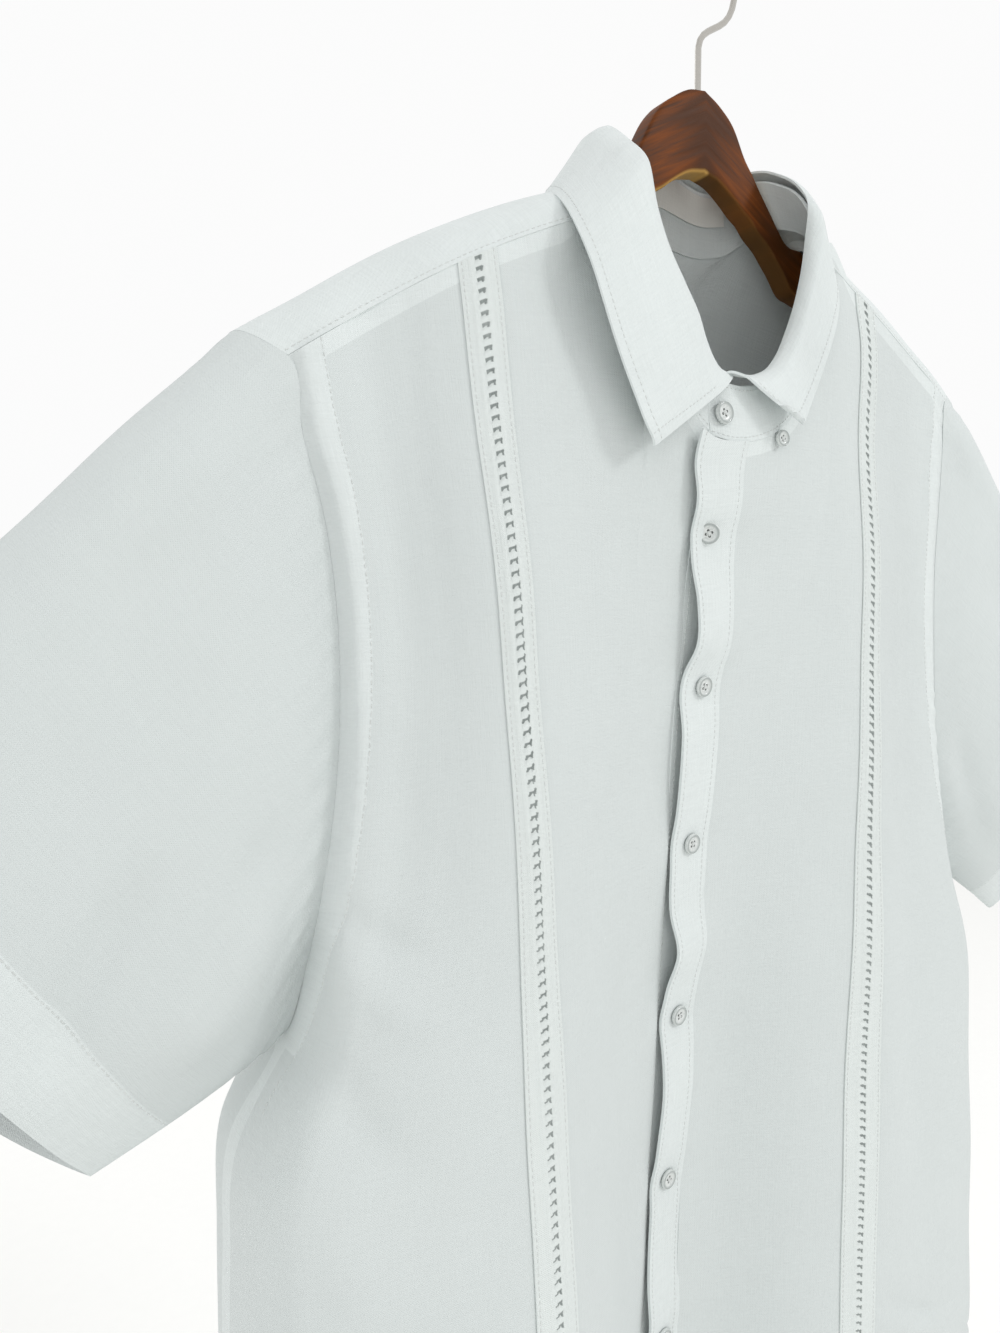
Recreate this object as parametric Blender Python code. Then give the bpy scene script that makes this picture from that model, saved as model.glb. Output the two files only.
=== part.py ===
"""Short-sleeved guayabera shirt on a wooden hanger, one rigid body, in metres, +Z up.

The origin is the inner top of the hanger's hook, where a rail carries it. +X is the
wearer's left, -Y is the front. The cloth is a wall worked out from level sections.
"""
import math

import bmesh
import bpy
import numpy as np

CM = 0.01

# ---------------------------------------------------------------- driving dimensions
CLOTH = 0.0015               # wall of one layer of cloth
DOUBLED = 0.0020             # wall of the collar, its stand and the plackets
BAND_WALL = 0.0010           # wall of an applied lace band
LAYER_GAP = 0.0005           # air between a panel and what lies on it
SEAM_INSET = 0.0005          # each piece stops this far short of a seam

FRONT_LINE_X = -0.027        # the line of the buttons, measured from the hook
HEM_Z = -0.950
BAND_REACH = 0.140           # cloth from the front line to the middle of a lace band
BAND_WIDTH = 0.026
PLACKET_WIDTH = 0.030
BUTTON_DIAMETER = 0.0115
POINT_BUTTON_DIAMETER = 0.009
BUTTON_WALL = 0.0026

RIDGE_TOP_Z = -0.111         # shoulder fold, carried by both arms of the hanger
RIDGE_SLOPE = 0.543
RIDGE_ROUNDING = 0.030
RIDGE_BOW = 0.009            # the arms are a little arched
SHOULDER_END = {"right": -0.264, "left": 0.218}
FRONT_YOKE_DROP = 0.023      # shoulder fold down to the front yoke seam
BACK_YOKE_Z = -0.225         # back yoke seam at the middle of the back
BACK_YOKE_SLOPE = 0.22
NECK_FRONT_Z = -0.288        # lowest point of the neck seam
NECK_CORNER_X = {"right": -0.085, "left": 0.068}
NECK_SQUARENESS = 0.30       # the smaller, the straighter the sides of the neck
NECK_BACK_S = 0.50           # how far behind the shoulder fold the neck seam runs
ROWS_ABOVE = 10              # levels from a panel's top to the armpit
ROWS_BELOW = 9               # levels from the armpit to the hem
YOKE_ROWS = 9
NECK_COLUMNS = 19
STAND_LAP = 0.0030           # the left end of the stand lies this far in front of the right
LEAF_END_GAP = 0.004
LEAF_OFF = 0.0062            # leaf in front of the stand
LEAF_RISE = 0.0038
STAND_FOOT_GAP = 0.0045
LABEL_WALL = 0.0008
POINT_BUTTON_OFF = 0.0026
POINT_BUTTON_IN = {"right": 0.012, "left": -0.004}
BUTTON_SIDES = 14
STAND_BUTTON_X = -0.006      # the stand's button sits beside the line, under the near leaf

SLEEVE_TOP_END = {"right": (-0.443, 0.000, -0.433), "left": (0.397, 0.000, -0.408)}
SLEEVE_LOW_END = {"right": (-0.330, -0.004, -0.603), "left": (0.304, -0.004, -0.600)}
SLEEVE_FRONT_SWELL = 0.034
SLEEVE_BACK_SWELL = 0.026
SLEEVE_SWELL = 0.010         # the middle of a sleeve stands out a little more
SLEEVE_SWELL_DEPTH = 0.020
YOKE_FOOT_X = {"right": -0.075, "left": 0.060}
SLEEVE_BACK_DROP = 0.026     # the back of the sleeve hem hangs lower than the front

HOOK_WIRE = 0.0036
HOOK_RADIUS = 0.027
HOOK_BEND_Z = -0.063
HOOK_FOOT_Z = -0.0877
HOOK_JOIN_DEGREES = -32
HOOK_END_DEGREES = 205
HANGER_THICKNESS = 0.014
HANGER_CHAMFER = 0.0032
HANGER_HALF_WIDTH = 0.205
HANGER_CLEARANCE = 0.0045    # wood below the shoulder fold of the cloth
HANGER_ARM_HEIGHT = 0.027
HANGER_TIP_HEIGHT = 0.017

# Front buttons from the top: level, and place across from the front line, in centimetres.
BUTTON_ROWS = [
    # z      across
    (-33.4, -0.5),
    (-41.4, 0.0),
    (-50.1, 0.0),
    (-60.1, 0.0),
    (-70.0, 0.0),
    (-79.9, 0.0),
]
# Outline of the hanger's head in centimetres; beyond it the arms follow the shoulder fold.
HANGER_ROWS = [
    # reach  top right  top left  bottom
    (0.00, -8.80, -8.80, -13.20),
    (1.20, -9.05, -9.40, -13.50),
    (2.20, -9.65, -10.25, -14.10),
    (3.10, -10.35, -11.75, -14.75),
    (3.70, -11.10, -12.45, -15.10),
    (4.20, -12.00, -13.10, -15.60),
    (5.20, -13.90, -14.30, -16.30),
    (6.20, -15.40, -15.50, -17.30),
    (8.00, -16.80, -16.80, -18.70),
]
# A row for each place round the collar, from the right front round the back:
# share of the way round, then in centimetres the fold's reach from the neck seam
# (across, deep, up) and the leaf's reach from the fold.
COLLAR_ROWS = [
    # way   stand: dx    dy    dz  | leaf: dx    dy    dz
    (0.000, 0.30, 0.25, 3.00, -6.90, -1.30, -3.90),
    (0.028, 0.70, 0.25, 2.85, -5.95, -1.25, -3.80),
    (0.060, 1.20, 0.25, 2.70, -5.90, -1.25, -3.60),
    (0.092, 1.65, 0.22, 2.60, -5.60, -1.10, -3.60),
    (0.160, 1.45, 0.30, 2.20, -5.20, -1.00, -3.80),
    (0.233, 1.10, 0.30, 2.00, -5.00, -1.50, -4.20),
    (0.280, 1.70, 0.40, 2.15, -5.10, -1.40, -4.50),
    (0.325, 1.50, 0.00, 3.00, -3.05, 0.40, -3.20),
    (0.402, 0.70, -0.60, 3.30, -2.30, 2.00, -3.90),
    (0.430, 0.50, -0.70, 3.45, -1.80, 2.40, -4.20),
    (0.500, 0.00, -0.70, 3.90, 0.00, 2.80, -4.70),
    (0.580, -0.90, -0.70, 3.20, 2.40, 2.00, -4.20),
    (0.660, -1.70, -0.60, 2.10, 3.00, 0.20, -2.80),
    (0.700, -1.90, -0.45, 2.10, 2.10, -0.50, -4.40),
    (0.786, -1.82, 0.00, 2.38, 0.50, -0.90, -3.90),
    (0.860, -1.50, 0.20, 2.50, -0.10, -1.20, -4.40),
    (0.940, -0.80, 0.25, 2.70, 1.50, -1.00, -2.50),
    (1.000, -0.30, 0.25, 3.00, 3.80, -0.90, -2.10),
]

# A row for each level. Depths (y) and places (x) in centimetres, right is negative.
# band = on the lace band, flank = where the front starts to turn, edge = armhole or side seam
FRONT_ROWS = [
    # z    centre | right: band  flank_x flank  edge_x  edge | left: band flank_x flank edge_x edge
    (-16.0, -5.0, -2.6, -21.0, -1.6, -24.6, -1.4, -2.4, 17.6, -1.8, 20.6, -1.4),
    (-22.0, -5.4, -3.9, -22.0, -2.4, -25.0, -2.2, -3.1, 17.5, -2.3, 20.4, -2.0),
    (-28.5, -5.6, -5.4, -21.8, -3.5, -24.7, -2.9, -3.3, 17.3, -2.6, 19.9, -2.3),
    (-34.0, -4.4, -6.4, -21.3, -4.6, -23.6, -3.5, -3.6, 17.0, -2.7, 19.4, -2.4),
    (-42.0, -3.3, -7.1, -21.3, -5.6, -23.4, -4.1, -3.8, 17.3, -2.8, 19.7, -2.4),
    (-50.0, -2.5, -7.5, -22.4, -6.3, -24.4, -3.9, -4.0, 18.6, -2.9, 21.2, -1.8),
    (-55.5, -2.0, -7.7, -23.8, -6.5, -25.1, -1.8, -4.1, 20.4, -3.0, 23.2, -0.4),
    (-60.0, -1.6, -7.8, -25.4, -6.6, -27.2, -1.0, -4.1, 22.4, -3.0, 24.8, 0.0),
    (-67.0, -1.1, -8.0, -25.7, -6.9, -27.7, -1.0, -4.2, 23.2, -3.1, 25.5, 0.0),
    (-80.0, -0.6, -8.2, -25.6, -6.9, -27.7, -0.8, -4.4, 23.8, -3.2, 26.2, 0.0),
    (-95.0, -0.4, -8.3, -25.4, -6.6, -27.6, -0.6, -4.6, 24.4, -3.3, 26.9, 0.0),
]
BACK_ROWS = [
    # z    centre | right: flank  edge | left: flank  edge
    (-12.0, 4.0, 1.0, 0.8, 1.0, 0.8),
    (-22.0, 5.1, 2.6, 2.1, 2.6, 2.1),
    (-28.5, 5.3, 3.2, 2.8, 3.2, 2.8),
    (-34.0, 5.4, 3.6, 3.1, 3.6, 3.1),
    (-42.0, 5.4, 3.8, 3.2, 3.8, 3.2),
    (-50.0, 5.4, 3.8, 2.3, 3.8, 2.3),
    (-55.5, 5.4, 3.8, -1.8, 3.8, -0.4),
    (-60.0, 5.3, 3.6, -1.0, 3.8, 0.0),
    (-67.0, 5.2, 3.2, -1.0, 3.9, 0.0),
    (-80.0, 5.0, 2.8, -0.8, 4.0, 0.0),
    (-95.0, 4.8, 2.6, -0.6, 4.0, 0.0),
]
ARMPIT_Z = -0.555
OPEN_Z = -0.475              # above this the armhole edge runs straight on into the sleeve

U_BAND, U_FLANK, U_TURN = 0.46, 0.80, 0.91
TURN_SHARE = 0.75            # place of the turn's middle between flank and edge


# ---------------------------------------------------------------- curves
def spline(knots, values, at):
    """Smooth curve through values at rising knots; values may be points."""
    knots = np.asarray(knots, float)
    values = np.asarray(values, float)
    at = np.clip(np.asarray(at, float), knots[0], knots[-1])
    cell = np.clip(np.searchsorted(knots, at, side="right") - 1, 0, len(knots) - 2)
    slopes = np.gradient(values, knots, axis=0)
    width = knots[cell + 1] - knots[cell]
    t = (at - knots[cell]) / width
    shape = t.shape + (1,) * (values.ndim - 1)
    t, width = t.reshape(shape), width.reshape(shape)
    return ((2 * t**3 - 3 * t**2 + 1) * values[cell]
            + (t**3 - 2 * t**2 + t) * width * slopes[cell]
            + (3 * t**2 - 2 * t**3) * values[cell + 1]
            + (t**3 - t**2) * width * slopes[cell + 1])


def smooth_step(low, high, value):
    t = min(max((value - low) / (high - low), 0.0), 1.0)
    return t * t * (3.0 - 2.0 * t)


def level(rows, z):
    """A table's row at the level z, in metres."""
    table = np.array(rows)[::-1] * CM
    return spline(table[:, 0], table[:, 1:], z)


def side_points(centre, band, flank, edge, z, sign):
    """Control points of half a section, from its turn back to the front line."""
    turn = flank + (edge - flank) * TURN_SHARE
    turn[1] = edge[1] + (flank[1] - edge[1]) * TURN_SHARE
    closed = smooth_step(OPEN_Z, ARMPIT_Z, z)
    beyond = (1 - closed) * (2 * edge - turn) + closed * np.array([turn[0], 2 * edge[1] - turn[1]])
    knots = [U_FLANK, U_TURN, 1.0, 1.0 + (1.0 - U_TURN)]
    points = [flank, turn, edge, beyond]
    if band is not None:
        knots.insert(0, U_BAND)
        points.insert(0, band)
    return [sign * k for k in knots], points


def band_place(centre, depth, sign):
    reach = math.sqrt(BAND_REACH**2 - (depth - centre[1])**2)
    return np.array([centre[0] + sign * reach, depth])


def section(z, back=False):
    """Knots and points (x, y) of the front or back section at the level z."""
    front = level(FRONT_ROWS, z)
    centre = np.array([FRONT_LINE_X, front[0]])
    if back:
        depths = level(BACK_ROWS, z)
        centre = np.array([(front[4] + front[9]) / 2, depths[0]])
    halves = []
    for sign, k in ((-1, 0), (1, 1)):
        band_y, flank_x, flank_y, edge_x, edge_y = front[1 + 5 * k:6 + 5 * k]
        if back:
            flank_y = depths[1 + 2 * k]
            if z > ARMPIT_Z:
                edge_y = depths[2 + 2 * k]
            halves.append(side_points(centre, None, np.array([flank_x, flank_y]),
                                      np.array([edge_x, edge_y]), z, sign))
        else:
            halves.append(side_points(centre, band_place(centre, band_y, sign),
                                      np.array([flank_x, flank_y]),
                                      np.array([edge_x, edge_y]), z, sign))
    knots = halves[0][0][::-1] + [0.0] + halves[1][0]
    points = halves[0][1][::-1] + [centre] + halves[1][1]
    return knots, points


def panel_point(u, z, back=False):
    knots, points = section(z, back)
    x, y = spline(knots, points, np.array([u]))[0]
    return np.array([x, y, z])


def depth_at(x, z, back=False):
    """Depth of the front or back sheet straight ahead of the point (x, z)."""
    knots, points = section(z, back)
    line = spline(knots, points, np.linspace(-1, 1, 161))
    return float(np.interp(x, line[:, 0], line[:, 1]))


def share_at(x, z, back=False):
    knots, points = section(z, back)
    shares = np.linspace(-1, 1, 161)
    line = spline(knots, points, shares)
    return float(np.interp(x, line[:, 0], shares))


# ---------------------------------------------------------------- seams of the upper body
def ridge_z(x):
    bow = RIDGE_BOW * math.sin(math.pi * min(max((abs(x) - 0.07) / 0.19, 0.0), 1.0))
    return RIDGE_TOP_Z - RIDGE_SLOPE * math.hypot(x, RIDGE_ROUNDING) + bow


def front_yoke_z(x):
    return ridge_z(x) - FRONT_YOKE_DROP


def back_yoke_z(x):
    return BACK_YOKE_Z - BACK_YOKE_SLOPE * max(abs(x) - 0.04, 0.0)


def front_top(u):
    """Highest level of the front panel at the share u: neck seam, then yoke seam."""
    x = panel_point(u, -0.25)[0]
    for _ in range(3):
        side = "left" if x > FRONT_LINE_X else "right"
        corner = NECK_CORNER_X[side]
        reach = (x - FRONT_LINE_X) / (corner - FRONT_LINE_X)
        if reach < 1.0:
            high = front_yoke_z(corner)
            z = high + (NECK_FRONT_Z - high) * math.sqrt(max(1.0 - reach * reach, 0.0))
        else:
            z = front_yoke_z(x)
        x = panel_point(u, z)[0]
    return z


def back_top(u):
    z = BACK_YOKE_Z
    for _ in range(4):
        z = back_yoke_z(panel_point(u, z, back=True)[0])
    return z


def saddle(x, s):
    """Point of the yoke: s = -1 on the front seam, 0 on the fold, 1 on the back seam."""
    turn = math.radians(62 if s < 0 else 84)
    angle = abs(s) * turn
    seam_z = front_yoke_z(x) if s < 0 else back_yoke_z(x)
    seam_y = depth_at(x, seam_z, back=s > 0)
    rise = (1 - math.cos(angle)) / (1 - math.cos(turn))
    high = ridge_z(x)
    return np.array([x, seam_y * math.sin(angle) / math.sin(turn), high + (seam_z - high) * rise])


def neck_on_yoke(t):
    """(x, s) of the neck seam on the yoke, t = -1 right front corner to 1 left one."""
    side = "left" if t > 0 else "right"
    middle = (NECK_CORNER_X["left"] + NECK_CORNER_X["right"]) / 2
    half = NECK_CORNER_X[side] - middle
    angle = (1 - abs(t)) * math.pi / 2
    x = middle + half * math.cos(angle)**NECK_SQUARENESS
    s = -1 + (1 + NECK_BACK_S) * math.sin(angle)
    return x, s


def yoke_end(side, s):
    """Armhole end of the yoke at s; the shoulder end stands out furthest."""
    edge = -1.0 if side == "right" else 1.0
    back = s > 0
    top = back_top(edge) if back else front_top(edge)
    x = panel_point(edge, top, back)[0]
    return x + (SHOULDER_END[side] - x) * (1 - abs(s)**2)


# ---------------------------------------------------------------- walls from grids of points
def grid_normals(grid, closed=False):
    if closed:
        wrapped = np.concatenate([grid[-1:], grid, grid[:1]], axis=0)
        along = (wrapped[2:] - wrapped[:-2])
    else:
        along = np.gradient(grid, axis=0)
    across = np.gradient(grid, axis=1)
    normals = np.cross(across, along)
    return normals / np.maximum(np.linalg.norm(normals, axis=2, keepdims=True), 1e-12)


def inset(grid, amount=SEAM_INSET, sides="udlr"):
    """The grid with its chosen borders drawn in by amount."""
    grid = grid.copy()
    pairs = {"l": (np.s_[0, :], np.s_[1, :]), "r": (np.s_[-1, :], np.s_[-2, :]),
             "u": (np.s_[:, 0], np.s_[:, 1]), "d": (np.s_[:, -1], np.s_[:, -2])}
    for name in sides:
        border, inner = pairs[name]
        step = grid[inner] - grid[border]
        length = np.maximum(np.linalg.norm(step, axis=-1, keepdims=True), 1e-9)
        grid[border] = grid[border] + step / length * amount
    return grid


def wall(name, grid, thickness, material, closed=False, lift=0.0, smooth=True):
    """Closed wall: its outer face is the grid moved out by lift, its inner face thickness in."""
    normals = grid_normals(grid, closed)
    outer = grid + normals * lift
    inner = outer - normals * thickness
    rows, cols = grid.shape[:2]
    mesh = bpy.data.meshes.new(name)
    shell = bmesh.new()
    out = [[shell.verts.new(p) for p in row] for row in outer]
    inn = [[shell.verts.new(p) for p in row] for row in inner]
    last = rows if closed else rows - 1
    for i in range(last):
        j = (i + 1) % rows
        for k in range(cols - 1):
            shell.faces.new((out[i][k], out[i][k + 1], out[j][k + 1], out[j][k]))
            shell.faces.new((inn[i][k], inn[j][k], inn[j][k + 1], inn[i][k + 1]))
        shell.faces.new((out[i][0], out[j][0], inn[j][0], inn[i][0]))
        shell.faces.new((out[i][-1], inn[i][-1], inn[j][-1], out[j][-1]))
    if not closed:
        for k in range(cols - 1):
            shell.faces.new((out[0][k], inn[0][k], inn[0][k + 1], out[0][k + 1]))
            shell.faces.new((out[-1][k], out[-1][k + 1], inn[-1][k + 1], inn[-1][k]))
    shell.to_mesh(mesh)
    shell.free()
    if smooth:
        mesh.shade_smooth()
        mesh.set_sharp_from_angle(angle=math.radians(50))
    return add_object(name, mesh, material)


def add_object(name, mesh, material):
    mesh.materials.append(material)
    piece = bpy.data.objects.new(name, mesh)
    bpy.context.scene.collection.objects.link(piece)
    return piece


def paint(name, colour, roughness, metallic=0.0):
    material = bpy.data.materials.new(name)
    material.use_nodes = True
    shader = material.node_tree.nodes["Principled BSDF"]
    shader.inputs["Base Color"].default_value = (*colour, 1.0)
    shader.inputs["Roughness"].default_value = roughness
    shader.inputs["Metallic"].default_value = metallic
    material.diffuse_color = (*colour, 1.0)
    return material


# ---------------------------------------------------------------- cloth pieces
def levels(top):
    """Levels from the top of a panel to the armpit, then on down to the hem."""
    upper = np.linspace(top, ARMPIT_Z, ROWS_ABOVE)
    return np.concatenate([upper, np.linspace(ARMPIT_Z, HEM_Z, ROWS_BELOW)[1:]])


def front_lift(u):
    """The left front lies on the right one near the front line."""
    over = PLACKET_WIDTH / 2 / BAND_REACH * U_BAND
    return (CLOTH + LAYER_GAP) * (1 - smooth_step(over * 1.2, over * 4, u))


def front_grid(shares, left):
    grid = np.array([[panel_point(u, z) for z in levels(front_top(u))] for u in shares])
    if left:
        normals = grid_normals(grid)
        for i, u in enumerate(shares):
            grid[i] += normals[i] * front_lift(u)
    return grid


PLACKET_SHARE = PLACKET_WIDTH / 2 / BAND_REACH * U_BAND
BAND_SHARE = BAND_WIDTH / 2 / BAND_REACH * U_BAND


OUTER_SHARES = [0.30, U_BAND - BAND_SHARE, U_BAND + BAND_SHARE, 0.58, 0.69, 0.80,
                0.86, 0.91, 0.95, 0.98, 1.0]


def neck_shares(side, first):
    """Shares that crowd towards the neck corner, where the neck seam is steep."""
    corner = share_at(NECK_CORNER_X[side], front_yoke_z(NECK_CORNER_X[side]))
    angles = np.linspace(0.0, math.pi / 2, 9)
    shares = [corner * math.sin(a) for a in angles if abs(corner * math.sin(a)) > first * 1.25]
    return [math.copysign(first, corner)] + shares


def make_fronts(cloth):
    for side, sign in (("right", -1), ("left", 1)):
        inner = neck_shares(side, PLACKET_SHARE)
        outer = [u for u in OUTER_SHARES if u > abs(inner[-1]) + 0.02]
        shares = inner + [sign * u for u in outer]
        if sign < 0:
            shares = shares[::-1]
        grid = inset(front_grid(shares, left=sign > 0))
        wall("front_" + side, grid, CLOTH, cloth)
        placket = np.linspace(-PLACKET_SHARE, PLACKET_SHARE, 4)
        strip = front_grid(placket, left=sign > 0)
        under = inset(strip, sides="ud" + ("l" if sign < 0 else "r"))
        lift = 0.0 if sign < 0 else DOUBLED - CLOTH
        wall("placket_" + side, under, DOUBLED if sign > 0 else CLOTH, cloth, lift=lift)
        band = np.array([U_BAND - BAND_SHARE, U_BAND + BAND_SHARE]) * sign
        strip = front_grid(sorted([band[0], sign * U_BAND, band[1]]), left=False)
        wall("lace_band_" + side, inset(strip, 0.001, "ud"), BAND_WALL, cloth,
             lift=BAND_WALL + LAYER_GAP)


def make_back(cloth):
    half = [0.0, 0.2, 0.4, 0.6, 0.80, 0.86, 0.91, 0.95, 0.98, 1.0]
    shares = [-u for u in half[:0:-1]] + half
    grid = []
    for u in shares[::-1]:
        grid.append([panel_point(u, z, back=True) for z in levels(back_top(u))])
    wall("back", inset(np.array(grid)), CLOTH, cloth)


def yoke_grid():
    """Columns run from the front seam or the neck seam to the back seam."""
    rows = np.linspace(-1, 1, YOKE_ROWS)
    ends = {side: [yoke_end(side, s) for s in rows] for side in ("right", "left")}
    shoulders = {}
    for side in ("right", "left"):
        corner, foot = NECK_CORNER_X[side], YOKE_FOOT_X[side]
        run = []
        for share in np.linspace(1.0, 0.0, 8)[:-1]:
            column = []
            for s, end in zip(rows, ends[side]):
                near_neck = corner + (foot - corner) * (s + 1) / 2
                column.append(saddle(near_neck + (end - near_neck) * share, s))
            run.append(column)
        shoulders[side] = run
    neck = []
    for t in np.linspace(-1, 1, NECK_COLUMNS):
        x_top, s_top = neck_on_yoke(t)
        foot = YOKE_FOOT_X["right"] + (YOKE_FOOT_X["left"] - YOKE_FOOT_X["right"]) * (t + 1) / 2
        shares = np.linspace(0, 1, YOKE_ROWS)
        neck.append([saddle(x_top + (foot - x_top) * k, s_top + (1 - s_top) * k) for k in shares])
    return np.array(shoulders["right"] + neck + shoulders["left"][::-1])[::-1]


def armhole_line(side):
    """Closed armhole: from the shoulder end down the front and up the back."""
    edge = -1.0 if side == "right" else 1.0
    half = YOKE_ROWS // 2 + 1
    line = [saddle(yoke_end(side, s), s) for s in np.linspace(0, -1, half)]
    line += [panel_point(edge, z) for z in np.linspace(front_top(edge), ARMPIT_Z, ROWS_ABOVE)[1:]]
    rise = np.linspace(ARMPIT_Z, back_top(edge), ROWS_ABOVE)[1:]
    line += [panel_point(edge, z, back=True) for z in rise]
    line += [saddle(yoke_end(side, s), s) for s in np.linspace(1, 0, half)[1:-1]]
    return np.array(line)


def path_length(points):
    steps = np.linalg.norm(np.diff(points, axis=0), axis=1)
    return np.concatenate([[0], np.cumsum(steps)])


def sleeve_shares(root):
    """Share of the way from the shoulder to the armpit: 0 to 1 in front, 1 to 0 behind."""
    low = YOKE_ROWS // 2 + ROWS_ABOVE - 1
    front = path_length(root[:low + 1])
    back = path_length(np.concatenate([root[low:], root[:1]]))
    return np.concatenate([front / front[-1], 1 - back[1:-1] / back[-1]]), low


def sleeve_hem_line(side, root):
    top = np.array(SLEEVE_TOP_END[side])
    low = np.array(SLEEVE_LOW_END[side])
    across = low - top
    down = np.array([across[2], 0, -across[0]]) / np.linalg.norm(across)
    if down[2] > 0:
        down = -down
    shares, bottom = sleeve_shares(root)
    line = []
    for k, share in enumerate(shares):
        swell = math.sin(math.pi * share)**0.8
        point = top + across * share
        if k <= bottom:
            point = point + np.array([0, -SLEEVE_FRONT_SWELL * swell, 0])
        else:
            point = point + np.array([0, SLEEVE_BACK_SWELL * swell, 0])
            point = point + down * SLEEVE_BACK_DROP * swell
        line.append(point)
    return np.array(line)


def sleeve_grid(side, rings=8):
    root = armhole_line(side)
    hem = sleeve_hem_line(side, root)
    grid = []
    for share in np.linspace(0, 1, rings):
        ring = root * (1 - share) + hem * share
        outward = np.clip(ring[:, 1] / SLEEVE_SWELL_DEPTH, -1, 1)
        ring[:, 1] += SLEEVE_SWELL * math.sin(math.pi * share) * outward
        grid.append(ring)
    grid = np.array(grid).transpose(1, 0, 2)
    return grid[::-1] if side == "left" else grid


def make_sleeves(cloth):
    for side in ("right", "left"):
        grid = inset(sleeve_grid(side), 2 * SEAM_INSET, "u")
        wall("sleeve_" + side, grid, CLOTH, cloth, closed=True)


# ---------------------------------------------------------------- collar
def neck_line():
    """Neck seam from the front line round the wearer's right, back and left to it again."""
    fronts = {}
    for side in ("right", "left"):
        shares = [0.0] + neck_shares(side, PLACKET_SHARE)
        fronts[side] = [panel_point(u, front_top(u)) for u in shares]
    back = [saddle(*neck_on_yoke(t)) for t in np.linspace(-1, 1, NECK_COLUMNS)[1:-1]]
    return np.array(fronts["right"] + back + fronts["left"][::-1])


def collar_lines():
    """Neck seam, fold and outer edge, point for point."""
    seam = neck_line()
    way = path_length(seam)
    way = way / way[-1]
    table = np.array(COLLAR_ROWS)
    reach = spline(table[:, 0], table[:, 1:] * CM, way)
    fold = seam + reach[:, :3]
    edge = fold + reach[:, 3:]
    for k, share in enumerate(way):
        forward = STAND_LAP * smooth_step(0.86, 0.97, share)
        for line in (seam, fold, edge):
            line[k, 1] -= forward
    return seam, fold, edge


def stand_rows(seam, fold, shares):
    """The stand with its two ends run on past the front line, the left one in front."""
    lap = PLACKET_WIDTH / 2
    under = np.array([lap, 0.001, 0.002])
    over = np.array([-lap, 0.001, 0.002])
    foot = np.concatenate([[seam[0] + under], seam, [seam[-1] + over]])
    top = np.concatenate([[fold[0] + under], fold, [fold[-1] + over]])
    unit = (top - foot) / np.linalg.norm(top - foot, axis=1, keepdims=True)
    foot = foot + unit * STAND_FOOT_GAP
    top = top - unit * 0.0015
    return np.array([foot + (top - foot) * share for share in shares]).transpose(1, 0, 2)


def leaf_rows(seam, fold, edge, count):
    """The leaf rises over the top of the stand and falls clear of it on the outside."""
    unit = (fold - seam) / np.linalg.norm(fold - seam, axis=1, keepdims=True)
    shares = np.linspace(0, 1, count)
    flat = np.array([fold + (edge - fold) * share for share in shares]).transpose(1, 0, 2)[::-1]
    over = LEAF_RISE * (1 - shares)**3
    off = LEAF_OFF * np.minimum(shares / 0.2, 1.0)**0.5
    return flat + unit[::-1, None] * over[None, :, None] + grid_normals(flat) * off[None, :, None]


def make_collar(cloth, white):
    seam, fold, edge = collar_lines()
    wall("collar_stand", stand_rows(seam, fold, np.linspace(0, 1, 4)), DOUBLED, cloth)
    leaf = leaf_rows(seam, fold, edge, 6)
    wall("collar_leaf", inset(leaf, LEAF_END_GAP, "lr"), DOUBLED, cloth, lift=LAYER_GAP)
    middle = len(seam) // 2
    span = slice(middle - 2, middle + 3)
    tag = stand_rows(seam, fold, np.linspace(0.38, 0.92, 3))[1:-1][span]
    wall("label", tag, LABEL_WALL, white, lift=-DOUBLED - LAYER_GAP)


# ---------------------------------------------------------------- buttons
def button(name, diameter, centre, facing, pearl):
    """Turned disc with a raised rim, its back on the cloth."""
    radius = diameter / 2
    profile = [(0.0, 0.0), (radius * 0.86, 0.0), (radius, BUTTON_WALL * 0.45),
               (radius * 0.86, BUTTON_WALL), (radius * 0.66, BUTTON_WALL * 0.72),
               (0.0, BUTTON_WALL * 0.72)]
    facing = facing / np.linalg.norm(facing)
    across = np.cross(facing, [0.0, 0.0, 1.0])
    across /= np.linalg.norm(across)
    up = np.cross(across, facing)
    shell = bmesh.new()
    rings = []
    for reach, height in profile:
        spots = BUTTON_SIDES if reach > 0 else 1
        ring = []
        for k in range(spots):
            angle = 2 * math.pi * k / BUTTON_SIDES
            offset = (across * math.cos(angle) + up * math.sin(angle)) * reach
            ring.append(shell.verts.new(centre + offset + facing * height))
        rings.append(ring)
    for low, high in zip(rings, rings[1:]):
        for k in range(BUTTON_SIDES):
            n = (k + 1) % BUTTON_SIDES
            corners = [low[k % len(low)], low[n % len(low)], high[n % len(high)], high[k % len(high)]]
            shell.faces.new(list(dict.fromkeys(corners)))
    bmesh.ops.recalc_face_normals(shell, faces=shell.faces)
    mesh = bpy.data.meshes.new(name)
    shell.to_mesh(mesh)
    shell.free()
    mesh.shade_smooth()
    mesh.set_sharp_from_angle(angle=math.radians(40))
    return add_object(name, mesh, pearl)


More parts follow.
